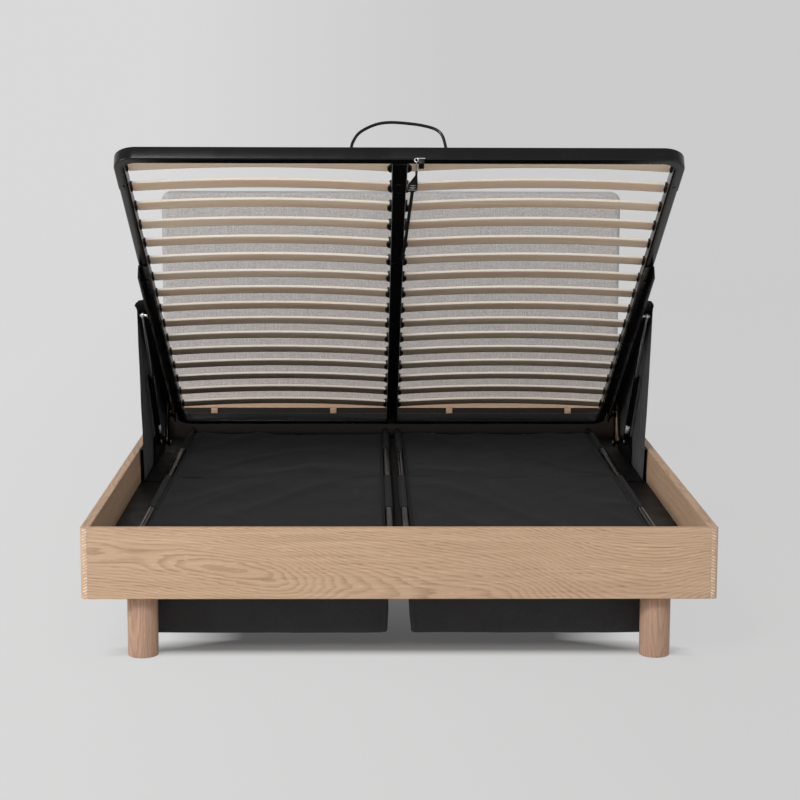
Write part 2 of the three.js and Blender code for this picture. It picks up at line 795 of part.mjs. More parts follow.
// Webbing strap for pulling the platform down, with its hook plate and buckle
const strapEdge = (dir) => STRAP.line.map(([x, s]) => [x + dir * STRAP.half, s]);
const [hookX] = STRAP.line[0];
const [buckleX, buckleS] = STRAP.line[2];
add(
  platform,
  "pull_strap",
  union(
    alongZ(polygon([...strapEdge(1), ...strapEdge(-1).reverse()]), STRAP.n0, STRAP.n1),
    box(hookX - 14, hookX + 14, 4, 46, STRAP.n0 - 2, -SEAT),
    box(buckleX - 17, buckleX + 17, buckleS - 9, buckleS + 9, STRAP.n0 - 2, STRAP.n1),
  ),
  "webbing",
);

export default root;
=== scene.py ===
# Dressing of the storage bed: finishes, cloth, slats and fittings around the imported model.
# Metres, in the frame of the model: +X right seen from the foot, +Y to the headboard, floor at z = 0.
import math
import random

import bmesh
import bpy
from mathutils import Matrix, Vector, noise


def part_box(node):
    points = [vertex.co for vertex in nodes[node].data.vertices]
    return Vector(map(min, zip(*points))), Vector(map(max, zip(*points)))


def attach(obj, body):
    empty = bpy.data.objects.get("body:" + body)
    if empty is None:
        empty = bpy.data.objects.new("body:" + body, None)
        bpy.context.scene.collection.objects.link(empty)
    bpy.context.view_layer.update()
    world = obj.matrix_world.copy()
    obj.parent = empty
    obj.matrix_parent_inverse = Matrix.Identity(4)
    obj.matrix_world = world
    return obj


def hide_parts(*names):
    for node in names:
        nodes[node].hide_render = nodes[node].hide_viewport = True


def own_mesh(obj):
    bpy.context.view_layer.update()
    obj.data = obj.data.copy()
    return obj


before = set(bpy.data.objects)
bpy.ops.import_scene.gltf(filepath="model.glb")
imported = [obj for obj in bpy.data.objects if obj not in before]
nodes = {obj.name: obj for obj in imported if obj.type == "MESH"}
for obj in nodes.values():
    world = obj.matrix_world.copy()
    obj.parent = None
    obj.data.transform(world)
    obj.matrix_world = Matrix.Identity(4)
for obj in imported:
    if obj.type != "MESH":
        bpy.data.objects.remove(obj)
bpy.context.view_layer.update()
SIDES = (("left", -1), ("right", 1))

# Driving places and sizes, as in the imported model
FOOT_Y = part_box("foot_board")[0].y
TILT = math.radians(29.04)
FREE_END = Vector((0, FOOT_Y + 0.178, 1.288))
PLATFORM = Matrix.Translation(FREE_END) @ Matrix.Rotation(-TILT, 4, "X")


def raised(x, s, n):
    """A place on the platform: s runs from its free end to the hinge, n stands square to its underside."""
    return PLATFORM @ Vector((x, s, n))


# Camera
FOCAL_PX = 2050
IMAGE_PX = 800
SENSOR = 36
EYE = Vector((-0.0814, FOOT_Y - 5.146, 1.448))
YAW = math.radians(0.8936)
PITCH = math.radians(8.419)
ROLL = math.radians(0.177)


def camera():
    forward = Vector((math.sin(YAW) * math.cos(PITCH), math.cos(YAW) * math.cos(PITCH), -math.sin(PITCH)))
    level = Vector((math.cos(YAW), -math.sin(YAW), 0))
    above = level.cross(forward)
    right = math.cos(ROLL) * level + math.sin(ROLL) * above
    up = math.cos(ROLL) * above - math.sin(ROLL) * level
    data = bpy.data.cameras.new("camera")
    data.sensor_width = SENSOR
    data.lens = FOCAL_PX / IMAGE_PX * SENSOR
    data.clip_end = 60
    holder = bpy.data.objects.new("camera", data)
    turn = Matrix((right, up, -forward)).transposed().to_4x4()
    holder.matrix_world = Matrix.Translation(EYE) @ turn
    bpy.context.scene.collection.objects.link(holder)
    bpy.context.scene.camera = holder


camera()


# Materials
def colour(red, green, blue):
    """A colour as it shows on a screen, each part from 0 to 255."""

    def linear(value):
        value /= 255
        return value / 12.92 if value <= 0.04045 else ((value + 0.055) / 1.055) ** 2.4

    return (linear(red), linear(green), linear(blue), 1.0)


class Surface:
    """A material under construction: its Principled shader and the nodes that feed it."""

    def __init__(self, name, base, roughness, **sockets):
        self.material = bpy.data.materials.new(name)
        self.material.use_nodes = True
        self.tree = self.material.node_tree
        self.shader = self.tree.nodes["Principled BSDF"]
        self.feed("Base Color", base)
        self.feed("Roughness", roughness)
        for socket, value in sockets.items():
            self.feed(socket.replace("_", " "), value)
        self.place = self.add("TexCoord").outputs["Object"]

    def feed(self, socket, value):
        self.join(self.shader.inputs[socket], value)

    def join(self, socket, value):
        if isinstance(value, bpy.types.NodeSocket):
            self.tree.links.new(value, socket)
        else:
            socket.default_value = value

    def add(self, kind, inputs=None, **settings):
        node = self.tree.nodes.new("ShaderNode" + kind)
        for key, value in settings.items():
            setattr(node, key, value)
        for key, value in (inputs or {}).items():
            self.join(node.inputs[key], value)
        return node

    def scaled(self, scale, shift=(0, 0, 0)):
        """Object coordinates, shifted and scaled."""
        inputs = {"Vector": self.place, "Scale": scale, "Location": shift}
        return self.add("Mapping", inputs).outputs["Vector"]

    def noise(self, vector, scale=1.0, detail=3.0, rough=0.55, warp=0.0):
        inputs = {"Vector": vector, "Scale": scale, "Detail": detail}
        inputs.update({"Roughness": rough, "Distortion": warp})
        return self.add("TexNoise", inputs).outputs["Fac"]

    def maths(self, operation, first, second=0.0, third=0.0):
        inputs = {0: first, 1: second, 2: third}
        return self.add("Math", inputs, operation=operation).outputs[0]

    def times(self, first, second):
        return self.maths("MULTIPLY", first, second)

    def plus(self, first, second):
        return self.maths("ADD", first, second)

    def minus(self, first, second):
        return self.maths("SUBTRACT", first, second)

    def size(self, value):
        return self.maths("ABSOLUTE", value)

    def span(self, value, low, high, to_low=0.0, to_high=1.0):
        """value mapped from low..high to to_low..to_high, and kept inside it."""
        inputs = {"Value": value, 1: low, 2: high, 3: to_low, 4: to_high}
        return self.add("MapRange", inputs).outputs[0]

    def mix(self, share, first, second):
        inputs = {0: share, 6: first, 7: second}
        return self.add("Mix", inputs, data_type="RGBA").outputs[2]

    def axes(self):
        return self.add("SeparateXYZ", {0: self.place}).outputs

    def line(self, value):
        """A place on a line, for noise that changes along value alone."""
        return self.add("CombineXYZ", {0: value}).outputs[0]

    def bump(self, height, distance, strength=1.0):
        inputs = {"Height": height, "Distance": distance, "Strength": strength}
        self.feed("Normal", self.add("Bump", inputs).outputs["Normal"])


ALONG = {"X": 0, "Y": 1, "Z": 2}
BLACK = (0, 0, 0, 1)


def wood(
    name, along, across, pith, pale, deep, seed,
    figure=0.42, roughness=0.52, pitch=0.0062, sway=0.085, lean=0.0,
):
    """Sawn timber: growth rings of a pitch round a wavering pith, cut by the faces of the piece.

    figure is how strongly the rings show, sway how far the pith wanders and lean its slant along the piece.
    """
    surface = Surface(name, pale, roughness, Specular_IOR_Level=0.3)
    axes = surface.axes()
    run, side = axes[ALONG[along]], axes[ALONG[across]]
    inward = axes[3 - ALONG[along] - ALONG[across]]

    def grain(cross, lengthwise):
        scale = [cross] * 3
        scale[ALONG[along]] = lengthwise
        return surface.scaled(scale, (seed, seed * 0.61, seed * 1.7))

    def drift(rate, offset):
        """Smooth wander along the piece, -0.5 to 0.5."""
        place = surface.line(surface.maths("MULTIPLY_ADD", run, rate, offset))
        return surface.minus(surface.noise(place, 1.0, 1.5, 0.4), 0.5)

    wobble = surface.minus(surface.noise(grain(26, 3.4), detail=3.0, rough=0.6), 0.5)
    ripple = surface.minus(surface.noise(grain(90, 24), detail=2.0, rough=0.6), 0.5)
    off_side = surface.plus(surface.minus(side, pith[0]), surface.times(drift(1.1, seed), sway))
    off_side = surface.plus(off_side, surface.span(run, -0.9, 0.9, 0.0, lean))
    depth = surface.size(surface.minus(inward, pith[1]))
    depth = surface.plus(depth, surface.times(drift(1.0, seed + 31), 6.5 * sway))
    squares = surface.plus(surface.times(off_side, off_side), surface.times(depth, depth))
    far = surface.maths("MULTIPLY_ADD", wobble, 0.017, surface.maths("SQRT", squares))
    far = surface.maths("MULTIPLY_ADD", ripple, 0.0022, far)
    ring = surface.maths("FRACT", surface.times(far, 1 / pitch))
    late = surface.times(surface.span(ring, 0.35, 0.86), surface.span(ring, 0.86, 1.0, 1.0, 0.0))
    band = surface.span(surface.noise(surface.line(surface.times(far, 34)), 1.0, 1.0), 0.3, 0.7, 0.35, 1.0)
    fibre = surface.noise(grain(520, 9), detail=4.0, rough=0.6)
    streak = surface.span(surface.noise(grain(150, 2.6), detail=3.0), 0.34, 0.68)
    pore = surface.span(fibre, 0.56, 0.7, 0.0, 0.5)
    line = surface.times(surface.times(late, band), figure)
    share = surface.plus(line, surface.times(streak, 0.26))
    body = surface.mix(share, pale, deep)
    darker = tuple(0.6 * part for part in deep[:3]) + (1.0,)
    body = surface.mix(surface.times(pore, surface.span(late, 0.0, 0.8, 0.25, 1.0)), body, darker)
    fleck = surface.span(surface.noise(grain(210, 30), detail=2.0), 0.63, 0.72, 0.0, 0.35)
    lighter = tuple(min(1.0, 1.28 * part + 0.03) for part in pale[:3]) + (1.0,)
    body = surface.mix(fleck, body, lighter)
    patch = surface.span(surface.noise(grain(2.4, 0.9), detail=1.0), 0.3, 0.7, 0.0, 0.1)
    surface.tone = surface.mix(patch, body, BLACK)
    surface.feed("Base Color", surface.tone)
    surface.feed("Roughness", surface.span(fibre, 0.3, 0.75, roughness - 0.06, roughness + 0.12))
    surface.bump(surface.minus(0.0, pore), 0.0002, 0.6)
    return surface


def corner_wood(name, pale, deep, seed):
    """Solid corner strip with bright ray flecks along its inner edge."""
    surface = wood(name, "Z", "X", (0.70, FOOT_Y - 0.1), pale, deep, seed, figure=0.3)
    x, _, z = surface.axes()
    slant = surface.maths("MULTIPLY_ADD", surface.size(x), 0.5, z)
    tick = surface.maths("SINE", surface.times(slant, 2 * math.pi / FLECK_PITCH))
    patchy = surface.span(surface.noise(surface.scaled((60, 60, 90)), 1.0, 2.0), 0.3, 0.6)
    inner = surface.span(surface.size(x), FLECK_OUT, FLECK_OUT + 0.002, 1.0, 0.0)
    share = surface.times(surface.times(surface.span(tick, -0.1, 0.6), patchy), inner)
    surface.feed("Base Color", surface.mix(surface.times(share, 0.85), surface.tone, RAY_FLECK))
    return surface


def coat(name, base, roughness, grain=1500.0, height=0.00006, shine=0.5):
    """Powder coat or moulded plastic: a fine orange peel and uneven gloss."""
    surface = Surface(name, base, roughness, Specular_IOR_Level=shine)
    cells = surface.noise(surface.place, grain, 2.0)
    cloud = surface.noise(surface.place, 9.0, 3.0)
    surface.feed("Roughness", surface.span(cloud, 0.3, 0.7, roughness - 0.06, roughness + 0.06))
    lighter = tuple(min(1.0, 1.5 * part + 0.004) for part in base[:3]) + (1.0,)
    surface.feed("Base Color", surface.mix(surface.span(cells, 0.55, 0.75, 0.0, 0.5), base, lighter))
    surface.bump(cells, height)
    return surface.material


def bright_metal(name, base=(0.62, 0.62, 0.63, 1.0), roughness=0.2):
    surface = Surface(name, base, roughness, Metallic=1.0)
    lines = surface.noise(surface.scaled((2600, 2600, 120)), 1.0, 2.0)
    surface.feed("Roughness", surface.span(lines, 0.3, 0.7, roughness - 0.06, roughness + 0.1))
    surface.bump(lines, 0.00002)
    return surface.material


THREAD_PITCH, RIB_PITCH = 0.0011, 0.0016


def thread_height(surface, pitch, slanting=False):
    """Height of a plain weave whose threads run square to each other, on faces that look any way."""
    x, y, z = surface.axes()
    first = surface.plus(x, y)
    second = surface.plus(z, y)
    if slanting:
        first, second = surface.plus(first, second), surface.minus(first, second)
    waves = [surface.maths("SINE", surface.times(way, math.pi / pitch)) for way in (first, second)]
    return surface.times(*waves)


def linen(name, pale, deep):
    """Flat-weave furnishing cloth with slubs."""
    surface = Surface(name, pale, 0.92, Specular_IOR_Level=0.15)
    surface.feed("Sheen Weight", 0.25)
    surface.feed("Sheen Roughness", 0.6)
    height = thread_height(surface, THREAD_PITCH)
    slubs = [
        surface.span(surface.noise(surface.scaled(scale), 1.0, 2.0), 0.45, 0.68)
        for scale in ((16, 16, 900), (900, 900, 16))
    ]
    slub = surface.maths("MAXIMUM", *slubs)
    mottle = surface.span(surface.noise(surface.place, 240.0, 3.0, 0.7), 0.35, 0.65)
    share = surface.plus(surface.times(slub, 0.4), surface.times(mottle, 0.6))
    tone = surface.mix(share, deep, pale)
    # Painted shade: the hollows between the threads are darkened towards black.
    between = surface.span(height, -1.0, 0.2, 0.35, 0.0)
    surface.feed("Base Color", surface.mix(between, tone, BLACK))
    surface.bump(surface.plus(height, slub), 0.00018)
    return surface.material


def felted(name, base, pale, dots=0.0024, sheen=0.12, shine=0.25):
    """Non-woven bag cloth: bonded dots and loose fibre."""
    surface = Surface(name, base, 0.9, Specular_IOR_Level=shine)
    surface.feed("Sheen Weight", sheen)
    surface.feed("Sheen Roughness", 0.5)
    bond = thread_height(surface, dots, slanting=True)
    fibre = surface.noise(surface.place, 850.0, 3.0, 0.7)
    cloud = surface.noise(surface.place, 6.0, 4.0)
    share = surface.times(surface.span(fibre, 0.35, 0.7), surface.span(cloud, 0.3, 0.7, 0.35, 0.9))
    surface.feed("Base Color", surface.mix(share, base, pale))
    surface.feed("Roughness", surface.span(bond, 0.3, 0.9, 0.92, 0.66))
    loose = surface.times(fibre, 0.6)
    surface.bump(surface.minus(loose, surface.span(bond, 0.4, 0.9)), 0.00025)
    return surface.material


def ribbed(name, base, pale):
    """Woven strap: ribs across its length and a chevron twill between them."""
    surface = Surface(name, base, 0.75, Specular_IOR_Level=0.3)
    height = thread_height(surface, RIB_PITCH, slanting=True)
    fibre = surface.noise(surface.place, 1400.0, 2.0)
    # Painted light and shade: the raised crests of the weave are drawn lighter than its hollows.
    share = surface.times(surface.span(height, -0.4, 1.0), surface.span(fibre, 0.3, 0.8))
    surface.feed("Base Color", surface.mix(share, base, pale))
    surface.bump(height, 0.0003)
    return surface.material


PLY_EDGE = colour(250, 242, 230)


def plywood(name, pale, deep):
    """Bent birch plywood: veneer faces with the grain along X, and its layers on the edges."""
    surface = Surface(name, pale, 0.42, Specular_IOR_Level=0.4)
    seat = surface.add("Attribute", attribute_name="row_tone").outputs["Fac"]
    depth = surface.add("Attribute", attribute_name="ply_depth").outputs["Fac"]
    fibre = surface.noise(surface.scaled((9, 420, 420)), 1.0, 4.0, 0.6)
    figure = surface.noise(surface.scaled((1.2, 22, 22)), 1.0, 3.0, 0.5, 0.6)
    face = surface.mix(surface.span(figure, 0.35, 0.65, 0.0, 0.55), pale, deep)
    face = surface.mix(surface.span(fibre, 0.52, 0.74, 0.0, 0.4), face, deep)
    layers = surface.maths("PINGPONG", surface.times(depth, 3.5), 0.5)
    layer_share = surface.span(layers, 0.18, 0.3, 0.0, 0.75)
    inside = surface.span(surface.size(surface.minus(depth, 0.5)), 0.44, 0.47, 1.0, 0.0)
    cut = surface.mix(surface.times(layer_share, 0.4), PLY_EDGE, face)
    tone = surface.mix(inside, face, cut)
    shade = surface.span(seat, 0.0, 1.0, 0.0, 0.14)
    surface.feed("Base Color", surface.mix(shade, tone, deep))
    surface.feed("Roughness", surface.span(fibre, 0.3, 0.7, 0.34, 0.52))
    surface.bump(fibre, 0.00006)
    return surface.material


OAK = (colour(222, 188, 157), colour(150, 112, 84))
LEG_OAK = (colour(205, 169, 145), colour(148, 110, 88))
EDGE_OAK = (colour(222, 186, 154), colour(190, 150, 118))
RAY_FLECK = colour(252, 243, 230)
RAW_TIMBER = (colour(196, 164, 124), colour(150, 112, 76))
# Painted shade: a dark oak tone for the head-end board's inner face, which lies in the shade under the
# platform.
PAINTED_SHADE_TONES = (colour(38, 30, 26), colour(24, 19, 17))
FLECK_PITCH, FLECK_OUT = 0.0080, 0.8125
BOARD_MID = 0.261
woods = {
    "foot": wood("oak_foot_board", "X", "Z", (BOARD_MID + 0.04, FOOT_Y + 0.09), *OAK, 3.1, lean=0.24),
    "head": wood("oak_head_board", "X", "Y", (0.96, 0.30), *OAK, 7.4),
    "left": wood("oak_side_left", "Y", "Z", (BOARD_MID + 0.33, -0.73), *OAK, 12.9),
    "right": wood("oak_side_right", "Y", "Z", (BOARD_MID + 0.36, 0.73), *OAK, 21.3),
    "leg": wood("oak_leg", "Z", "X", (0.35, 0.4), *LEG_OAK, 5.7, figure=0.4, pitch=0.0052, sway=0.03),
    "edge": corner_wood("oak_corner_strip", *EDGE_OAK, 9.2),
    "timber": wood("raw_timber", "X", "Z", (0.16, 0.2), *RAW_TIMBER, 4.4, roughness=0.72),
    "dark": wood("dark_stained_board", "X", "Z", (BOARD_MID, 0.9), *PAINTED_SHADE_TONES, 8.8, roughness=0.6),
}
woods = {key: surface.material for key, surface in woods.items()}
birch = plywood("birch_plywood", colour(255, 236, 211), colour(232, 196, 166))
steel = coat("black_powder_coat", colour(11, 11, 12), 0.24, shine=0.34)
ledge_steel = coat("black_bracket_coat", colour(13, 12, 12), 0.5, shine=0.16)
plastic = coat("black_moulded_plastic", colour(12, 12, 13), 0.42, grain=2600.0, height=0.00003)
zinc = bright_metal("zinc_plated_steel", roughness=0.3)
yellow_zinc = bright_metal("yellow_zinc_steel", (0.78, 0.62, 0.40, 1.0), 0.3)
chrome = bright_metal("ground_steel", (0.8, 0.8, 0.82, 1.0), 0.36)
grey_linen = linen("grey_linen", colour(240, 236, 234), colour(172, 168, 167))
# The bag, lid and curtain cloth are one black fabric in three copies. The bag and curtain copies are
# painted lighter to lift the shade they sit in. The lid copy is painted darker as shade on the lids.
bag_cloth = felted("bag_cloth", colour(46, 46, 47), colour(80, 80, 82))
lid_cloth = felted("lid_cloth", colour(13, 13, 16), colour(30, 30, 34), sheen=0.055, shine=0.14)
curtain_cloth = felted("curtain_cloth", colour(46, 46, 49), colour(82, 82, 86), dots=0.003)
webbing = ribbed("webbing", colour(16, 16, 18), colour(44, 44, 47))
label_paper = coat("blank_label", colour(232, 231, 228), 0.6, grain=900.0, height=0.00001)


def finish_node(name, material):
    nodes[name].data.materials.clear()
    nodes[name].data.materials.append(material)


finish_node("foot_board", woods["foot"])
finish_node("head_end_board", woods["head"])
for side, _ in SIDES:
    finish_node(f"side_board_{side}", woods[side])
    finish_node(f"corner_strip_{side}", woods["edge"])
for end in ("foot", "head"):
    finish_node(f"leg_rail_{end}", woods["timber"])
    finish_node(f"bag_ledge_{end}", steel)
for side, _ in SIDES:
    finish_node(f"base_bracket_{side}", ledge_steel)
    for kind in ("side_tube", "bag_rail_inner", "bag_rail_outer", "hanger", "front_arm", "rear_arm"):
        finish_node(f"{kind}_{side}", steel)
for name in ("foot_rail", "rear_rail", "centre_rail", "retainer_bow"):
    finish_node(name, steel)


# Mesh helpers
AXIS_R = 0.0005


def make_object(mesh, body, material):
    """Links a mesh as a piece of the same name that rides on a body and takes its finish from a slot."""
    made = bpy.data.objects.new(mesh.name, mesh)
    bpy.context.scene.collection.objects.link(made)
    mesh.materials.append(material)
    for polygon in mesh.polygons:
        polygon.use_smooth = True
    bpy.context.view_layer.update()
    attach(made, body)
    return made


def finish_mesh(bm, name, sharp_deg=35):
    """Closes a bmesh into a mesh with outward normals and edges kept sharp past an angle."""
    bmesh.ops.remove_doubles(bm, verts=bm.verts, dist=1e-6)
    bmesh.ops.recalc_face_normals(bm, faces=bm.faces)
    limit = math.radians(sharp_deg)
    for edge in bm.edges:
        if len(edge.link_faces) == 2 and edge.calc_face_angle(0) > limit:
            edge.smooth = False
    mesh = bpy.data.meshes.new(name)
    bm.to_mesh(mesh)
    bm.free()
    return mesh


def fittings(name, body, material, build, inputs=(), replaced=None, sharp_deg=35):
    """One piece, drawn by build(bm, *inputs), in place of a node of the model where it replaces one."""
    bm = bmesh.new()
    build(bm, *inputs)
    made = make_object(finish_mesh(bm, name, sharp_deg), body, material)
    if replaced:
        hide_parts(replaced)
    return made


def ring_faces(bm, rings, closed=False, capped=True):
    """Quads between rings of vertices of equal length, with caps on the first and last."""
    count = len(rings[0])
    pairs = list(zip(rings, rings[1:])) + ([(rings[-1], rings[0])] if closed else [])
    for low, high in pairs:
        for i in range(count):
            j = (i + 1) % count
            bm.faces.new((low[i], low[j], high[j], high[i]))
    if capped and not closed:
        bm.faces.new(rings[0][::-1])
        bm.faces.new(rings[-1])


def grid_faces(bm, grid):
    """Quads between rows of vertices of equal length."""
    for row, after in zip(grid, grid[1:]):
        for a, b, c, d in zip(row, after, after[1:], row[1:]):
            bm.faces.new((a, b, c, d))


def arc(centre, radius, start, end, steps):
    """Points on a plane arc, angles in degrees."""
    angles = [math.radians(start + (end - start) * i / steps) for i in range(steps + 1)]
    return [(centre[0] + radius * math.cos(a), centre[1] + radius * math.sin(a)) for a in angles]


def oval(centre, half_x, half_y, steps):
    """Points round an oval, ending where they start."""
    return [(centre[0] + half_x * math.cos(t), centre[1] + half_y * math.sin(t)) for t in turns(steps, 1)]


def rounded_outline(width, height, radius, steps=3):
    """A rectangle about the origin with rounded corners."""
    x, y = width / 2 - radius, height / 2 - radius
    corners = (((x, y), 0), ((-x, y), 90), ((-x, -y), 180), ((x, -y), 270))
    return [p for centre, start in corners for p in arc(centre, radius, start, start + 90, steps)]


def turns(count, extra=0):
    """Angles of even steps round a full turn, with extra ones past its end."""
    return [2 * math.pi * k / count for k in range(count + extra)]


def lathe_rings(bm, profile, place, around):
    """Rings of vertices for (radius, height) points about the Z axis of place."""
    angles = turns(around)
    return [
        [bm.verts.new(place @ Vector((radius * math.cos(t), radius * math.sin(t), height))) for t in angles]
        for radius, height in profile
    ]


def lathe(bm, profile, place, around):
    """A turned piece with flat ends."""
    ring_faces(bm, lathe_rings(bm, profile, place, around))


def turned_pin(bm, profile, place, around):
    """A turned piece whose ends are drawn in nearly to its axis."""
    lathe(bm, [(AXIS_R, profile[0][1]), *profile, (AXIS_R, profile[-1][1])], place, around)


def block(bm, low, high, radius, place=Matrix()):
    """A box with rounded edges between two corners."""
    low, high = Vector(low), Vector(high)
    size, middle = high - low, (low + high) / 2
    radius = min(radius, 0.499 * min(size))
    heights = [(-size.z / 2 + radius * (1 - math.cos(t)), radius * (1 - math.sin(t))) for t in quarter(3)]
    heights += [(-z, inset) for z, inset in reversed(heights)]
    rings = []
    for z, inset in heights:
        corner = max(radius - inset, 0.02 * radius)
        outline = rounded_outline(size.x - 2 * inset, size.y - 2 * inset, corner)
        rings.append([bm.verts.new(place @ (middle + Vector((x, y, z)))) for x, y in outline])
    ring_faces(bm, rings)


def quarter(steps):
    """Angles from 0 to a right angle."""
    return [math.pi / 2 * i / steps for i in range(steps + 1)]


def tube(bm, points, radius, around, capped=True):
    """A round bar along a list of points, with its ring of vertices kept from twisting."""
    points = [Vector(p) for p in points]
    before = None
    rings = []
    for i, point in enumerate(points):
        ahead = (points[min(i + 1, len(points) - 1)] - points[max(i - 1, 0)]).normalized()
        if before is None:
            side = ahead.orthogonal().normalized()
        else:
            side = (before - ahead * before.dot(ahead)).normalized()
        before = side
        other = ahead.cross(side)
        size = radius[i] if isinstance(radius, (list, tuple)) else radius
        spokes = [math.cos(t) * side + math.sin(t) * other for t in turns(around)]
        rings.append([bm.verts.new(point + size * spoke) for spoke in spokes])
    ring_faces(bm, rings, capped=capped)


# Slats: bent plywood between the centre rail and the side tubes, one object to a row
ROWS = 16
ROW_FIRST = 0.0923
ROW_PITCH = 0.1182
SLAT_W, SLAT_T = 0.046, 0.008
SLAT_LOW, SLAT_BOW = 0.022, 0.012
SLAT_STEPS = 28
SLAT_IN, SLAT_OUT = 0.024, 0.712
HOLDER_W = 0.044
HOLDER_REACH = 0.012
HOLDER_OUTER = 0.005
TUBE_IN = 0.7165
STUB_END = 0.180
STUB_TOP, SPINE_TOP = 0.036, 0.0342
SPINE_HALF = 0.0185
STUB_HALF = 0.0205


def slat_rise(x):
    """How far a slat stands above its ends, for a place across the bed."""
    along = (2 * abs(x) - SLAT_IN - SLAT_OUT) / (SLAT_OUT - SLAT_IN)
    return SLAT_BOW * (1 - along * along)


def slats(number, s):
    bm = bmesh.new()
    depth = bm.verts.layers.float.new("ply_depth")
    tone = bm.verts.layers.float.new("row_tone")
    outline = rounded_outline(SLAT_W, SLAT_T, 0.0022, 3)
    for side in (-1, 1):
        shade = random.random()
        rings = []
        for i in range(SLAT_STEPS + 1):
            x = SLAT_IN + (SLAT_OUT - SLAT_IN) * i / SLAT_STEPS
            base = SLAT_LOW + SLAT_T / 2 + slat_rise(x)
            ring = []
            for across, up in outline:
                vert = bm.verts.new(raised(side * x, s + across, base + up))
                vert[depth] = up / SLAT_T + 0.5
                vert[tone] = shade
                ring.append(vert)
            rings.append(ring)
        ring_faces(bm, rings)
    mesh = finish_mesh(bm, f"slats_{number:02d}")
    made = make_object(mesh, "platform", birch)
    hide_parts(f"slat_row_{number:02d}")


def pocket(bm, place, inner, reach, bottom, top):
    """The half-moon end of a moulded slat holder, with a rounded rim."""
    levels = ((bottom, 0.0018), (bottom + 0.0018, 0.0), (top - 0.0018, 0.0), (top, 0.0018))
    rings = []
    for n, inset in levels:
        wide, deep = HOLDER_W / 2 - inset, reach - 0.6 * inset
        half_turn = [math.radians(-90 + 12 * k) for k in range(16)]
        moon = [(inner + deep * math.cos(t), wide * math.sin(t), n) for t in half_turn]
        rings.append([bm.verts.new(place @ Vector(point)) for point in moon])
    ring_faces(bm, rings)


def holders(number, s):
    bm = bmesh.new()
    on_stub = s < STUB_END
    top = (STUB_TOP if on_stub else SPINE_TOP) + 0.0003
    half = (STUB_HALF if on_stub else SPINE_HALF) + 0.0003
    seat = PLATFORM @ Matrix.Translation((0, s, 0))
    for side in (-1, 1):
        place = seat @ Matrix.Diagonal((side, 1, 1, 1))
        pocket(bm, place, half, HOLDER_REACH, 0.018, top + 0.001)
        wall = TUBE_IN - 0.0003
        turned = Matrix.Translation((2 * wall, 0, 0)) @ Matrix.Diagonal((-1, 1, 1, 1))
        pocket(bm, place @ turned, wall, HOLDER_OUTER, 0.0185, 0.0332)
    block(bm, (-half - 0.006, -0.019, top), (half + 0.006, 0.019, top + 0.003), 0.0013, seat)
    mesh = finish_mesh(bm, f"slat_holders_{number:02d}")
    make_object(mesh, "platform", plastic)


random.seed(11)
for row in range(ROWS):
    slats(row + 1, ROW_FIRST + row * ROW_PITCH)
    holders(row + 1, ROW_FIRST + row * ROW_PITCH)


# Legs: turned oak with a broken edge and a felt glide
LEG_R = 0.0398
LEG_TOP = 0.168
GLIDE_T = 0.0026


def legs():
    foot, edge = 0.003, 0.0008
    profile = [(LEG_R - 2 * foot, GLIDE_T)]
    profile += arc((LEG_R - foot, GLIDE_T + foot), foot, -90, 0, 4)
    profile += arc((LEG_R - edge, LEG_TOP - edge), edge, 0, 90, 2)
    glide = [(0.028, 0), (0.0295, 0.0008), (0.030, 0.003)]
    for end in ("foot", "head"):
        for side, _ in SIDES:
            low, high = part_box(f"leg_{end}_{side}")
            middle = Matrix.Translation(((low.x + high.x) / 2, (low.y + high.y) / 2, 0))
            leg = f"leg_{end}_{side}"
            turning, disc = (profile, middle, 64), (glide, middle, 48)
            fittings(f"turned_{leg}", "bed_base", woods["leg"], turned_pin, turning, leg)
            fittings(f"glide_{end}_{side}", "bed_base", curtain_cloth, turned_pin, disc)


legs()


# Cloth helpers
CLOTH_STIFFNESS = 25.0


def settle(made, held, frames, cap, gravity=0.0, pressure=0.0):
    """Runs cloth on a piece and lets each vertex move at most cap; held is how firmly each is pinned."""
    group = made.vertex_groups.new(name="held")
    for index, weight in held.items():
        group.add([index], weight, "REPLACE")
    modifier = made.modifiers.new("cloth", "CLOTH")
    settings = modifier.settings
    settings.quality = 5
    settings.mass = 0.15
    settings.tension_stiffness = settings.compression_stiffness = CLOTH_STIFFNESS
    settings.shear_stiffness = 0.4 * CLOTH_STIFFNESS
    settings.bending_stiffness = 0.6
    settings.vertex_group_mass = "held"
    settings.effector_weights.gravity = gravity
    settings.use_pressure = pressure > 0
    settings.uniform_pressure_force = pressure
    modifier.point_cache.frame_end = frames + 1
    scene = bpy.context.scene
    start = [vertex.co.copy() for vertex in made.data.vertices]
    for number in range(1, frames + 1):
        scene.frame_set(number)
    moved = made.evaluated_get(bpy.context.evaluated_depsgraph_get())
    after = [vertex.co.copy() for vertex in moved.data.vertices]
    made.modifiers.remove(modifier)
    made.vertex_groups.remove(group)
    for vertex, old, new in zip(made.data.vertices, start, after):
        step = new - old
        if step.length > cap:
            step *= cap / step.length
        vertex.co = old + step
    scene.frame_set(1)


def thicken(made, thickness, offset=0.0):
    modifier = made.modifiers.new("thickness", "SOLIDIFY")
    modifier.thickness = thickness
    modifier.offset = offset


def sheet_mesh(name, columns, rows, point):
    """A grid of point(u, v) with u and v from 0 to 1."""
    bm = bmesh.new()
    downs = [j / rows for j in range(rows + 1)]
    grid_faces(bm, [[bm.verts.new(point(i / columns, v)) for v in downs] for i in range(columns + 1)])
    mesh = bpy.data.meshes.new(name)
    bm.to_mesh(mesh)
    bm.free()
    return mesh


def waver(x, y, z, scale, seed=0.0):
    """Smooth noise from -1 to 1."""
    return noise.noise(Vector((x * scale + seed, y * scale - seed, z * scale + 0.5 * seed)))


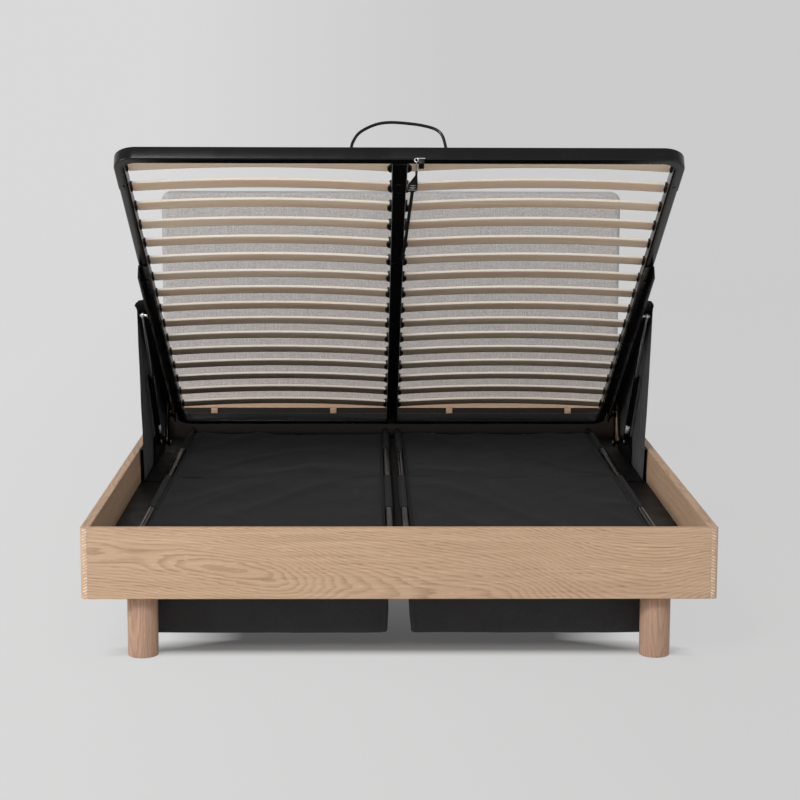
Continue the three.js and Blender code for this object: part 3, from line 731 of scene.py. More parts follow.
def ridge(x, y, scale, direction, stretch, seed):
    """Long soft creases running along a direction, 0 to 1."""
    turn = math.radians(direction)
    along = x * math.cos(turn) + y * math.sin(turn)
    across = y * math.cos(turn) - x * math.sin(turn)
    value = noise.noise(Vector((along * scale / stretch + seed, across * scale, seed)))
    return max(0.0, 1 - 4.5 * abs(value)) ** 2


# Headboard: a flat upholstered panel with a padded front, soft edges and a seam round its back
PAD_EDGE = 0.012
PAD_CORNER = 0.034
FOOT_CORNER = 0.006


def headboard():
    low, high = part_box("headboard")
    middle_x, middle_z = (low.x + high.x) / 2, (low.z + high.z) / 2
    half_x, half_z = (high.x - low.x) / 2, (high.z - low.z) / 2
    columns, rows = 96, 56

    def spread(t):
        """Grid lines drawn towards the edges, where the padding turns."""
        return -math.cos(math.pi * t)

    def rounded(i, j, inset):
        """A point of the panel's grid, drawn in by inset and rounded at the corners."""
        x, z = spread(i / columns) * (half_x - inset), spread(j / rows) * (half_z - inset)
        corner = (PAD_CORNER if z > 0 else FOOT_CORNER) - 0.6 * inset
        corner = max(corner, 0.003)
        a, b = abs(x) - (half_x - inset - corner), abs(z) - (half_z - inset - corner)
        if a > 0 and b > 0:
            pull = max(a, b) / math.hypot(a, b)
            x = math.copysign(half_x - inset - corner + a * pull, x)
            z = math.copysign(half_z - inset - corner + b * pull, z)
        return x, z

    bm = bmesh.new()
    depth = high.y - low.y
    bends = [(PAD_EDGE * (1 - math.cos(t)), PAD_EDGE * (1 - math.sin(t))) for t in quarter(5)]
    levels = [(low.y + away, inset) for away, inset in bends]
    levels += [(low.y + 0.45 * depth, 0.0), (high.y - 0.009, 0.0), (high.y - 0.0065, 0.0016)]
    levels += [(high.y - 0.004, 0.0), (high.y, 0.002)]
    border = [(i, 0) for i in range(columns)] + [(columns, j) for j in range(rows)]
    border += [(columns - i, rows) for i in range(columns)] + [(0, rows - j) for j in range(rows)]

    def vertex(i, j, y, inset):
        x, z = rounded(i, j, inset)
        return bm.verts.new((middle_x + x, y, middle_z + z))

    layers = [[vertex(i, j, y, inset) for i, j in border] for y, inset in levels]
    ring_faces(bm, layers, capped=False)
    for ring, (y, inset) in ((layers[0], levels[0]), (layers[-1], levels[-1])):
        known = dict(zip(border, ring))
        grid = []
        for i in range(columns + 1):
            grid.append([known.get((i, j)) or vertex(i, j, y, inset) for j in range(rows + 1)])
        grid_faces(bm, grid)
    mesh = finish_mesh(bm, "upholstered_headboard", 60)
    made = make_object(mesh, "bed_base", grey_linen)
    held = {v.index: 1.0 for v in mesh.vertices if v.co.y > low.y + 0.4 * depth}
    settle(made, held, 12, 0.004, pressure=0.6)
    for vertex in mesh.vertices:
        near = max(0.0, 1 - (vertex.co.y - low.y) / 0.02)
        if near > 0:
            x, z = vertex.co.x, vertex.co.z
            vertex.co.y += near * 0.0016 * (waver(x, 0, z, 5.0, 2.0) + 0.5 * waver(x, 0, z, 19.0, 5.0))
            vertex.co.y = max(vertex.co.y, low.y + 0.0002)
    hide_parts("headboard")


headboard()


# Storage bags: cloth shells hung from the rails by sleeves, and their two-part lids
RAIL_X = (0.022, 0.703)
RAIL_Z, RAIL_R = 0.273, 0.010
BAG_X, BAG_BOTTOM, BAG_RIM = (0.024, 0.704), 0.0430, 0.2605
BAG_Y = (FOOT_Y + 0.120, FOOT_Y + 1.968)
SLEEVES = ((FOOT_Y + 0.640, FOOT_Y + 1.132), (FOOT_Y + 1.636, FOOT_Y + 1.950))
CLOTH_T = 0.0016
LID_X = (0.0343, 0.6907)
LID_SEAM, LID_LAP = FOOT_Y + 1.150, 0.026
LID_BACK_Z, LID_FRONT_Z = 0.2748, 0.2764
SEAM_IN, SEAM_UP, SEAM_R = 0.006, 0.0009, 0.0011
FLOOR_STEPS, PANEL_EDGE = 12, 0.001
BIND_IN, BIND_HALF, BIND_END = 0.0012, 0.0016, 0.02
LINK_IN = 0.006


def bag(name, side):
    x_mid, y_mid = (BAG_X[0] + BAG_X[1]) / 2, (BAG_Y[0] + BAG_Y[1]) / 2
    half_x, half_y = (BAG_X[1] - BAG_X[0]) / 2 - PANEL_EDGE, (BAG_Y[1] - BAG_Y[0]) / 2 - PANEL_EDGE
    tall = BAG_RIM - BAG_BOTTOM
    corner, turn_r, pitch = 0.013, 0.007, 0.024
    outline = []
    for (cx, cy), start in (((1, 1), 0), ((-1, 1), 90), ((-1, -1), 180), ((1, -1), 270)):
        centre = (cx * (half_x - corner), cy * (half_y - corner))
        outline += arc(centre, corner, start, start + 90, 5)
    dense = []
    for a, b in zip(outline, outline[1:] + outline[:1]):
        parts = max(1, round(math.dist(a, b) / pitch))
        dense += [tuple(p + (q - p) * k / parts for p, q in zip(a, b)) for k in range(parts)]
    wall = [(0.0, tall * (1 - t)) for t in (0, 0.05, 0.16, 0.3, 0.44, 0.58, 0.7, 0.8)]
    wall = [(inset, z) for inset, z in wall if z > turn_r]
    wall += [(turn_r * (1 - math.sin(t)), turn_r * (1 - math.cos(t))) for t in reversed(quarter(5))]
    spine = half_y - half_x
    seed = 3.3 if side < 0 else 8.1
    bm = bmesh.new()
    rings = []

    def soft(x, y, z, out_x, out_y):
        """Slack cloth: walls belly out between rim and base, with upright and slanting folds."""
        share = z / tall
        belly = math.sin(math.pi * min(1.0, share)) * 0.004
        folds = 0.0035 * waver(x, y, 0.12 * z, 7.0, seed) + 0.002 * waver(x, y, z, 16.0, seed)
        near_corner = math.exp(-(((half_x - abs(x)) / 0.07) ** 2) - ((half_y - abs(y)) / 0.07) ** 2)
        tuck = -0.004 * near_corner * (1 - share) * (0.6 + 0.4 * waver(x, y, z, 30.0, seed))
        crease = 0.012 + 0.012 * share
        tuck -= 0.007 * math.exp(-(((half_x - abs(x) - crease) / 0.006) ** 2)) * (abs(out_y) > 0.5)
        push = (belly + folds) * min(1.0, 4 * (1 - share)) + tuck - 0.0035
        return x + out_x * push, y + out_y * push

    for inset, z in wall:
        ring = []
        for x, y in dense:
            out = (Vector((x, y)) - Vector((0, max(-spine, min(spine, y))))).normalized()
            if abs(y) < half_y - corner and abs(abs(x) - half_x) < 1e-6:
                out = Vector((math.copysign(1, x), 0))
            elif abs(x) < half_x - corner and abs(abs(y) - half_y) < 1e-6:
                out = Vector((0, math.copysign(1, y)))
            px, py = soft(x - out.x * inset, y - out.y * inset, z, out.x, out.y)
            ring.append(bm.verts.new((side * x_mid + px, y_mid + py, BAG_BOTTOM + z)))
        rings.append(ring)
    base = [(v.co.x - side * x_mid, v.co.y - y_mid) for v in rings[-1]]
    for step in range(1, FLOOR_STEPS + 1):
        t = step / FLOOR_STEPS
        ring = []
        for x, y in base:
            px, py = x - x * t, y + (max(-spine, min(spine, y)) - y) * t
            edge = min(half_x - abs(px), half_y - abs(py))
            lift = 0.0035 * (1 + waver(px, py, 0, 4.5, seed)) * min(1.0, edge / 0.06)
            ring.append(bm.verts.new((side * x_mid + px, y_mid + py, BAG_BOTTOM + lift)))
        rings.append(ring)
    rings.reverse()
    ring_faces(bm, rings, capped=False)
    mesh = finish_mesh(bm, f"cloth_bag_{name}", 80)
    made = make_object(mesh, "bed_base", bag_cloth)
    held = {v.index: 1.0 for v in mesh.vertices if v.co.z > BAG_RIM - 0.02}
    settle(made, held, 14, 0.006, gravity=0.4)
    for vertex in mesh.vertices:
        vertex.co.z = max(vertex.co.z, BAG_BOTTOM + CLOTH_T / 2)
    thicken(made, CLOTH_T)
    hem = bag_hem(name, side)
    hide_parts(f"storage_bag_{name}")


def bag_hem(name, side):
    """Sleeves sewn round the rails, and the binding of the rim between them."""
    bm = bmesh.new()
    wall_r = RAIL_R + 0.0006
    angles = turns(24)
    spokes = [Vector((math.sin(t), 0, math.cos(t))) for t in angles]
    for rail in RAIL_X:

        def ring(y, radii):
            middle = Vector((side * rail, y, RAIL_Z))
            return [bm.verts.new(middle + radius * spoke) for radius, spoke in zip(radii, spokes)]

        for start, end in SLEEVES:
            steps = max(6, round((end - start) / 0.02))
            outer = []
            for i in range(steps + 1):
                y = start + (end - start) * i / steps
                slack = [0.5 + 0.5 * waver(rail, y, t, 40.0, 4.0 * side) for t in angles]
                creases = [0.0009 * much * (1 - math.cos(t)) / 2 for much, t in zip(slack, angles)]
                outer.append(ring(y, [wall_r + 0.0004 + crease for crease in creases]))
            inner = [ring(y, [wall_r] * 24) for y in (start, end)]
            ring_faces(bm, [inner[0], *outer, inner[1]], capped=False)
    x_low, x_high = sorted((side * BAG_X[0], side * BAG_X[1]))
    (y_low, y_high), below, above = BAG_Y, BAG_RIM - 0.012, BAG_RIM + BIND_IN
    for x in (x_low + BIND_IN, x_high - BIND_IN):
        low, high = (x - BIND_HALF, y_low + BIND_END, below), (x + BIND_HALF, y_high - BIND_END, above)
        block(bm, low, high, 0.0012)
    for y in (y_low + BIND_IN, y_high - BIND_IN):
        low, high = (x_low + BIND_END, y - BIND_HALF, below), (x_high - BIND_END, y + BIND_HALF, above)
        block(bm, low, high, 0.0012)
    mesh = finish_mesh(bm, f"bag_hem_{name}", 50)
    return make_object(mesh, "bed_base", lid_cloth)


def bag_link():
    """The cloth strip sewn between the two bags, hung between the inner rails."""
    half, length = RAIL_X[0] - 0.0005, BAG_Y[1] - BAG_Y[0] - 2 * LINK_IN

    def point(u, v):
        x, y = (2 * u - 1) * half, BAG_Y[0] + LINK_IN + length * v
        slack = 0.006 * (1 - (2 * u - 1) ** 2) * (1 + 0.3 * waver(0, y, 0, 5.0, 6.0))
        return Vector((x, y, BAG_RIM + 0.0005 - slack))

    mesh = sheet_mesh("bag_link", 10, 90, point)
    made = make_object(mesh, "bed_base", lid_cloth)
    thicken(made, CLOTH_T)


def lid(name, side, part, start, end, level, seed):
    """One half of a lid: cloth lying slack between the rails, creased across its corners."""
    width, length = LID_X[1] - LID_X[0], end - start
    left = min(side * LID_X[0], side * LID_X[1])
    seam_y = end if part == "front" else start

    def point(u, v):
        x, y = left + width * u, start + length * v
        slack = math.sin(math.pi * u) ** 0.6 * (0.45 + 0.55 * math.sin(math.pi * v))
        calm = 0.15 + 0.85 * min(1.0, abs(y - seam_y) / 0.13) ** 1.5
        broad = ridge(x, y, 2.6, -71 * side, 3.2, seed)
        broad += 0.8 * ridge(x, y, 3.4, -64 * side, 3.5, seed + 4)
        crease = ridge(x, y, 5.5, 52 * side, 3.0, seed + 9)
        ripple = 0.0062 * broad + 0.0012 * crease + 0.0016 * waver(x, y, 0, 6.0, seed)
        ripple = calm * ripple + 0.0005 * waver(x, y, 0, 31.0, seed)
        free = min(1.0, min(u, 1 - u) * width / 0.03)
        return Vector((x, y, level - 0.0085 * slack + free * (ripple - 0.001)))

    mesh = sheet_mesh(f"lid_{part}_{name}", 44, round(length / 0.016), point)
    made = make_object(mesh, "bed_base", lid_cloth)
    thicken(made, CLOTH_T)
    bm = bmesh.new()
    for x in (left + SEAM_IN, left + width - SEAM_IN):
        tube(bm, [(x, start + length * k / 60, level + SEAM_UP) for k in range(61)], SEAM_R, 6)
    v = 1 - SEAM_IN / length if part == "front" else SEAM_IN / length
    across = [point(0.01 + 0.98 * k / 40, v) for k in range(41)]
    tube(bm, [place + Vector((0, 0, SEAM_UP)) for place in across], SEAM_R, 6)
    trim_mesh = finish_mesh(bm, f"lid_seam_{part}_{name}", 60)
    trim = make_object(trim_mesh, "bed_base", webbing)
    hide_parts(f"bag_lid_{name}")


for side_name, side_sign in SIDES:
    bag(side_name, side_sign)
    lid(side_name, side_sign, "back", LID_SEAM - LID_LAP, BAG_Y[1], LID_BACK_Z, 5.0 + side_sign)
    lid(side_name, side_sign, "front", BAG_Y[0], LID_SEAM, LID_FRONT_Z, 2.0 + side_sign)
bag_link()


# Side curtains: a hem on the side tube, and the cloth that folds down onto the base plate
TUBE_OUT = 0.745
CHEEK_X = 0.777
CURTAIN_S = (0.934, 1.884)
CURTAIN_N = 0.020
CURTAIN_Y = (FOOT_Y + 1.211, FOOT_Y + 1.806)
PLATE_Z = 0.2503
CURTAIN_T = 0.0014
FOLDS = 11
SPLIT = 0.0168
CURTAIN_OUT = 0.7935
CURTAIN_TIP = {-1: 0.008, 1: 0.003}


def curtain_edges(u, lift=0.0):
    """Top and foot of the curtain, for u from 0 at its front edge to 1 at the back."""
    top = raised(0, CURTAIN_S[0] + (CURTAIN_S[1] - CURTAIN_S[0]) * u, CURTAIN_N)
    foot = Vector((0, CURTAIN_Y[0] + (CURTAIN_Y[1] - CURTAIN_Y[0]) * u, PLATE_Z + lift))
    return top, foot


def curtain_point(side, u, down):
    """A point of the curtain: down is 0 at the tube and 1 at the plate."""
    top, foot = curtain_edges(u, 0.0006)
    length = (foot - top).length
    q = down * length
    phase = 2 * math.pi * FOLDS * (u + 0.012 * waver(u * 4, 0, down, 2.0, side))
    wave = (0.5 - 0.5 * math.cos(phase)) * (0.75 + 0.25 * waver(u, down, 0, 6.0, 3.0 + side))
    line = (
        (0.0, TUBE_OUT + 0.0012),
        (0.008, TUBE_OUT + 0.0016),
        (0.011, TUBE_OUT + 0.007),
        (0.014, TUBE_OUT + 0.027),
        (0.020, CHEEK_X + 0.001),
        (0.060, CHEEK_X + 0.0025 + 0.001 * wave),
        (0.35, CHEEK_X + 0.005 + 0.003 * wave),
        (1.0, CHEEK_X + 0.008 + 0.003 * wave),
    )
    stops = [at if at <= 0.06 else 0.06 + (length - 0.06) * at for at, _ in line]
    x = line[-1][1]
    for a, b, (_, xa), (_, xb) in zip(stops, stops[1:], line, line[1:]):
        if a <= q <= b:
            x = xa + (xb - xa) * (q - a) / (b - a)
            break
    x += 0.001 * waver(u * 3, down * 2, 0, 3.0, 7.0 + side) * min(1.0, down * 4)
    x = min(x, CURTAIN_OUT)
    x += CURTAIN_TIP[side] * max(0.0, 1 - u / 0.022) * max(0.0, 1 - abs(q - 0.030) / 0.014)
    place = top.lerp(foot, down)
    return Vector((side * x, place.y, place.z))


def curtain(name, side):
    tall = max((curtain_point(side, u, 1) - curtain_point(side, u, 0)).length for u in (0.0, 0.5, 1.0))

    def split_share(u):
        top, foot = curtain_edges(u)
        return SPLIT / (foot - top).length

    def hem_point(u, v):
        return curtain_point(side, u, v * split_share(u))

    def drop_point(u, v):
        low = split_share(u)
        return curtain_point(side, u, low + (1 - low) * v ** 1.25)

    hem_mesh = sheet_mesh(f"curtain_hem_{name}", FOLDS * 12, 12, hem_point)
    hem = make_object(hem_mesh, "platform", curtain_cloth)
    thicken(hem, CURTAIN_T)
    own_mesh(hem)
    drop_mesh = sheet_mesh(f"curtain_drop_{name}", FOLDS * 16, 42, drop_point)
    drop = make_object(drop_mesh, "bed_base", curtain_cloth)
    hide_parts(f"curtain_{name}")
    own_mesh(drop)


for side_name, side_sign in SIDES:
    curtain(side_name, side_sign)


# Steel tubes of the platform, with rolled edges and smooth bends
TUBE_W, TUBE_H, TUBE_LOW = 0.027, 0.033, 0.0012
FOOT_W, FOOT_H, FOOT_BEND = 0.0285, 0.036, 0.062
PLATFORM_L = 2.010
REAR_BEND, REAR_JOIN = 0.052, 0.656
ROLL_R = 0.0042
CLEAR = 0.0003
BOW_S, BOW_R = 0.01425, 0.0040
BOW_LINE = (
    (-0.127, -0.003), (-0.122, 0.021), (-0.104, 0.049), (-0.066, 0.071), (-0.026, 0.0785),
    (0.030, 0.0745), (0.070, 0.067), (0.097, 0.056), (0.112, 0.036), (0.1205, -0.003),
)


def box_tube(bm, path, width, height, middle, roll=ROLL_R):
    """A rectangular tube with rolled edges along (x, s) points of the platform's plane."""
    outline = rounded_outline(width, height, roll, 5)
    points = [Vector((x, s)) for x, s in path]
    rings = []
    for i, point in enumerate(points):
        before = (point - points[i - 1]).normalized() if i else None
        after = (points[i + 1] - point).normalized() if i + 1 < len(points) else None
        way = ((before or after) + (after or before)).normalized()
        across = Vector((way.y, -way.x))
        spread = 1 / max(0.5, across.dot(Vector((after.y, -after.x)))) if after else 1.0
        ring = [(point + across * (a * spread), middle + b) for a, b in outline]
        rings.append([bm.verts.new(raised(*spot, n)) for spot, n in ring])
    ring_faces(bm, rings)


def tube_piece(name, path, width, height, middle, replaced, extra=None):
    """One tube of the platform, with what extra(bm) adds to it."""

    def build(bm):
        box_tube(bm, path, width, height, middle)
        if extra:
            extra(bm)

    fittings(name, "platform", steel, build, (), replaced, 40)


def weld(bm, points, radius, seed):
    """A ripple of weld metal along a joint."""
    points = [Vector(p) for p in points]
    fine = []
    for a, b in zip(points, points[1:]):
        steps = max(2, round((b - a).length / 0.0011))
        fine += [a.lerp(b, k / steps) for k in range(steps)]
    ripple = [0.8 + 0.25 * math.sin(1.9 * k) + 0.1 * waver(k, seed, 0, 0.7) for k in range(len(fine))]
    tube(bm, fine, [radius * share for share in ripple], 8)


def platform_tubes():
    foot_x, foot_s = TUBE_OUT - FOOT_W / 2, FOOT_W / 2
    foot_r = FOOT_BEND - FOOT_W / 2
    foot = [(-foot_x, STUB_END)] + arc((-foot_x + foot_r, foot_s + foot_r), foot_r, 180, 270, 18)
    foot += arc((foot_x - foot_r, foot_s + foot_r), foot_r, 270, 360, 18) + [(foot_x, STUB_END)]

    def stub(bm):
        box_tube(bm, [(0, FOOT_W - 0.004), (0, STUB_END)], 2 * STUB_HALF, FOOT_H, FOOT_H / 2, 0.005)
        for side in (-1, 1):
            x = side * (STUB_HALF + 0.0004)
            weld(bm, [raised(x, FOOT_W + 0.0006, n) for n in (0.005, 0.031)], 0.0016, side)
        under = (-STUB_HALF + 0.005, STUB_HALF - 0.005)
        weld(bm, [raised(x, FOOT_W + 0.0006, -0.0002) for x in under], 0.0016, 3)

    tube_piece("bent_foot_rail", foot, FOOT_W, FOOT_H, FOOT_H / 2, "foot_rail", stub)
    middle = TUBE_LOW + TUBE_H / 2
    side_x = TUBE_OUT - 0.0015 - TUBE_W / 2
    rear_s = PLATFORM_L - TUBE_W / 2
    bend = REAR_BEND - TUBE_W / 2
    for name, side in SIDES:
        path = [(side * (REAR_JOIN + CLEAR), rear_s)]
        path += [(side * x, s) for x, s in arc((side_x - bend, rear_s - bend), bend, 90, 0, 18)]
        path += [(side * side_x, STUB_END + CLEAR)]
        tube_piece(f"bent_side_tube_{name}", path, TUBE_W, TUBE_H, middle, f"side_tube_{name}")
    rear = [(-REAR_JOIN, rear_s), (REAR_JOIN, rear_s)]
    tube_piece("straight_rear_rail", rear, TUBE_W, TUBE_H, middle, "rear_rail")

    def ends(bm):
        """Welds of the centre rail to the rear rail."""
        for side in (-1, 1):
            x = side * (SPINE_HALF + 0.0004)
            weld(bm, [raised(x, PLATFORM_L - TUBE_W - 0.0014, n) for n in (0.006, 0.029)], 0.0015, 5 + side)

    spine = [(0, STUB_END + CLEAR), (0, PLATFORM_L - TUBE_W - CLEAR)]
    tube_piece("long_centre_rail", spine, 2 * SPINE_HALF, TUBE_H, middle, "centre_rail", ends)


platform_tubes()


def bow(bm):
    """Retainer bow: a bent rod that stands on the foot rail."""
    points = [Vector(p) for p in BOW_LINE]
    path = []
    for k in range(len(points) - 1):
        a, b, c, d = (points[max(0, min(len(points) - 1, k + e))] for e in (-1, 0, 1, 2))
        for step in range(8):
            t = step / 8
            bend, twist = 2 * a - 5 * b + 4 * c - d, 3 * b - a - 3 * c + d
            path.append(0.5 * (2 * b + (c - a) * t + bend * t * t + twist * t * t * t))
    path.append(points[-1])
    tube(bm, [raised(x, BOW_S, FOOT_H + high) for x, high in path], BOW_R, 20)
    for x in (points[0].x, points[-1].x):
        ring = oval((x, BOW_S), 0.0052, 0.0052, 20)
        weld(bm, [raised(a, b, FOOT_H + 0.0005) for a, b in ring], 0.0012, x)


fittings("bent_bow", "platform", steel, bow, (), "retainer_bow")


def sleeve_screws(bm):
    """Pan-head screws that lock the foot rail's legs and stub to the tubes."""
    for x, s in ((0, 0.150), (-TUBE_OUT + 0.014, 0.160), (TUBE_OUT - 0.014, 0.160)):
        place = PLATFORM @ Matrix.Translation((x, s, 0.0001)) @ Matrix.Rotation(math.pi, 4, "X")
        lathe(bm, [(AXIS_R, 0.0022), (0.003, 0.002), (0.0046, 0.0011), (0.005, 0), (AXIS_R, 0)], place, 20)


fittings("sleeve_screws", "platform", steel, sleeve_screws)


# Head end: oak ledge, a thin dark lining on the board's inner face painted as its shade, and four small oak
# blocks
HEAD_FACE = FOOT_Y + 2.0643
HEAD_BACK = FOOT_Y + 2.1743
INNER_HALF = 0.7957
BOARD_LOW, BOARD_TOP, BOARD_T = LEG_TOP, 0.354, 0.024
BLOCKS_X, BLOCK_HALF = (-0.628, -0.206, 0.206, 0.628), 0.011
LINING = 0.0030


def head_end():
    low = (-INNER_HALF, HEAD_FACE + LINING, BOARD_TOP - BOARD_T)
    high = (INNER_HALF, HEAD_BACK, BOARD_TOP)
    fittings("head_ledge", "bed_base", woods["head"], block, (low, high, 0.0016), "head_end_board")
    # Painted shade: a thin dark lining on the board's inner face stands in for the shade under the
    # platform.
    low = (-INNER_HALF, HEAD_FACE, BOARD_LOW)
    high = (INNER_HALF, HEAD_FACE + LINING - 0.0001, BOARD_TOP - 0.0012)
    fittings("head_inner_board", "bed_base", woods["dark"], block, (low, high, 0.0006))

    def blocks(bm):
        for x in BLOCKS_X:
            low = (x - BLOCK_HALF, HEAD_FACE - 0.006, 0.331)
            block(bm, low, (x + BLOCK_HALF, HEAD_FACE + 0.001, 0.352), 0.0012)

    fittings("head_blocks", "bed_base", woods["head"], blocks)


head_end()


# Gas struts: painted cylinder with a rolled neck and blank label, bright rod and end eyes
STRUT_X = 0.766
STRUT_FOOT = Vector((0, FOOT_Y + 1.500, 0.3248))
STRUT_S, STRUT_N = 1.005, -0.012
STRUT_HEAD = raised(0, STRUT_S, STRUT_N)
CYL_R, CYL_FROM, CYL_TO = 0.010, 0.022, 0.352
ROD_R, ROD_L = 0.0046, 0.380
LABEL_TURN = {-1: math.radians(-58), 1: math.radians(-150)}
LABEL_WIDE, LABEL_STEPS, LABEL_R = math.radians(80), 14, CYL_R + 0.00025
LABEL_Z = (0.058, 0.098)


def strut(name, side):
    foot = Vector((side * STRUT_X, STRUT_FOOT.y, STRUT_FOOT.z))
    head = Vector((side * STRUT_X, STRUT_HEAD.y, STRUT_HEAD.z))
    along = (head - foot).normalized()
    length = (head - foot).length
    across = Vector((1, 0, 0))
    place = Matrix((across, along.cross(across), along)).transposed().to_4x4()
    place.translation = foot
    sideways = Matrix.Rotation(math.pi / 2, 4, "Y")
    pin, top_pin = Matrix.Translation(foot) @ sideways, Matrix.Translation(head) @ sideways

    def eye(bm, turn, hole):
        ring = [(hole, -0.0038), (hole, 0.0038)]
        ring += [(0.0105, 0.0038), (0.0108, 0.003), (0.0108, -0.003), (0.0105, -0.0038)]
        ring_faces(bm, lathe_rings(bm, ring, turn, 36), closed=True)

    def cylinder(bm):
        foot_r, neck_r, groove = 0.003, 0.0035, CYL_R - 0.0011
        profile = [(0.006, CYL_FROM - 0.001)]
        profile += arc((CYL_R - foot_r, CYL_FROM + foot_r), foot_r, -80, 0, 5)
        profile += [(CYL_R, CYL_TO - 0.016), (groove, CYL_TO - 0.0145), (groove, CYL_TO - 0.0125)]
        profile += [(CYL_R, CYL_TO - 0.011)]
        profile += arc((CYL_R - neck_r, CYL_TO - neck_r), neck_r, 0, 75, 5)
        profile += [(ROD_R + 0.0006, CYL_TO), (ROD_R + 0.0006, CYL_TO - 0.006)]
        turned_pin(bm, profile, place, 36)
        turned_pin(bm, [(0.0052, 0.0095), (0.0055, CYL_FROM - 0.0005)], place, 24)
        eye(bm, pin, 0.0063)

    def rod_end(bm):
        turned_pin(bm, [(0.0055, length - 0.0205), (0.0055, length - 0.009)], place, 6)
        eye(bm, top_pin, 0.0051)
        turn = top_pin if side > 0 else top_pin @ Matrix.Rotation(math.pi, 4, "X")
        bolt = [(AXIS_R, -0.0135), (0.0049, -0.0135), (0.0049, 0.0075), (0.0075, 0.0078)]
        lathe(bm, bolt + [(0.008, 0.009), (0.0065, 0.0105), (AXIS_R, 0.011)], turn, 28)

    def label(bm):
        angles = [LABEL_TURN[side] + LABEL_WIDE * i / LABEL_STEPS for i in range(LABEL_STEPS + 1)]
        grid = []
        for x, y in [(LABEL_R * math.cos(t), LABEL_R * math.sin(t)) for t in angles]:
            grid.append([bm.verts.new(place @ Vector((x, y, z))) for z in LABEL_Z])
        grid_faces(bm, grid)

    body, slide = f"cylinder_{name}", f"rod_{name}"
    rod = [(ROD_R, length - ROD_L), (ROD_R, length - 0.020), (0.0036, length - 0.0185)]
    fittings(f"gas_cylinder_{name}", body, steel, cylinder, (), f"strut_cylinder_{name}")
    bar = (rod, place, 28)
    fittings(f"gas_rod_{name}", slide, chrome, turned_pin, bar, f"strut_rod_{name}")
    fittings(f"gas_rod_end_{name}", slide, zinc, rod_end)
    tag = fittings(f"blank_label_{name}", body, label_paper, label)
    thicken(tag, 0.0002, 1.0)


for side_name, side_sign in SIDES:
    strut(side_name, side_sign)


# Plated studs, washers and domed caps on the pins
FRONT_BASE = Vector((0, FOOT_Y + 1.560285, 0.323675))
REAR_BASE = Vector((0, FOOT_Y + 1.767102, 0.277909))
BASE_PINS = ((FRONT_BASE, 0.7482), (REAR_BASE, 0.7558), (STRUT_FOOT, 0.7602))


def studs(name, side):
    def turned(place):
        return Matrix.Translation(place) @ Matrix.Rotation(side * math.pi / 2, 4, "Y")

    def base(bm):
        for pin, x in BASE_PINS:
            place = turned(Vector((side * x, pin.y, pin.z)))
            cap = [(AXIS_R, -0.0022), (0.003, -0.0021), (0.0058, -0.0014), (0.0072, 0), (AXIS_R, 0)]
            lathe(bm, cap, place, 28)

    fittings(f"base_pin_caps_{name}", "bed_base", zinc, base)

    def upper(bm):
        place = turned(raised(side * TUBE_OUT, STRUT_S, STRUT_N))
        turned_pin(bm, [(0.0112, 0), (0.0112, 0.0012), (0.0086, 0.0016), (0.0086, 0.0071)], place, 28)

    fittings(f"strut_stud_{name}", "platform", yellow_zinc, upper)


for side_name, side_sign in SIDES:
    studs(side_name, side_sign)


# Pull strap: spring hook on the foot rail, handle loop, slide buckle and webbing under the centre rail
STRAP_WAY = (
    (0.044, 0.061), (0.0435, 0.088), (0.036, 0.137), (0.0345, 0.174),
    (0.035, 0.189), (0.031, 0.277), (0.0205, 0.530), (0.0135, 0.615),
)
STRAP_T = 0.0013
STRAP_N = -0.0028


def strap_line(way):
    """Close points along a strap that follows (x, s) points: place, direction across, and length so far."""
    points = [Vector(p) for p in way]
    fine, total = [], 0.0
    for a, b in zip(points, points[1:]):
        step = (b - a).length
        steps = max(2, round(step / 0.004))
        fine += [(a.lerp(b, k / steps), total + step * k / steps) for k in range(steps)]
        total += step
    fine.append((points[-1], total))
    rows = []
    for k, (point, at) in enumerate(fine):
        ahead = (fine[min(k + 1, len(fine) - 1)][0] - fine[max(k - 1, 0)][0]).normalized()
        rows.append((point, Vector((ahead.y, -ahead.x)), at))
    return rows, total


def pull_strap():
    def width(at):
        if at < 0.025:
            return 0.005
        if at < 0.075:
            return 0.005 + 0.020 * (at - 0.025) / 0.05
        if at < 0.113:
            return 0.025
        return 0.0085 + 0.0165 * max(0.0, 1 - (at - 0.113) / 0.010)

    bm = bmesh.new()
    rows, length = strap_line(STRAP_WAY)
    grid = []
    for point, across, at in rows:
        line = []
        for k in range(7):
            share = k / 6 - 0.5
            curl = -0.0012 * (2 * share) ** 2 + 0.0006 * math.sin(60 * at)
            line.append(bm.verts.new(raised(*(point + across * width(at) * share), STRAP_N + curl)))
        grid.append(line)
    for low, high, (_, _, at) in zip(grid, grid[1:], rows):
        for k in range(6):
            if k in (2, 3) and (0.078 < at < 0.086 or 0.094 < at < 0.104):
                continue
            bm.faces.new((low[k], low[k + 1], high[k + 1], high[k]))
    mesh = finish_mesh(bm, "pull_strap_webbing", 60)
    strap = make_object(mesh, "platform", webbing)
    thicken(strap, STRAP_T)
    hook = fittings("spring_hook", "platform", chrome, spring_hook)
    grip = fittings("strap_grip", "platform", plastic, strap_grip)
    buckle = fittings("slide_buckle", "platform", zinc, slide_buckle)
    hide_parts("pull_strap")


HOOK_DROP = 0.012
BUCKLE_X = (0.0215, 0.0345, 0.0475)
BUCKLE_S, BUCKLE_N, BUCKLE_R = (0.141, 0.1535, 0.169), -0.0036, 0.0012


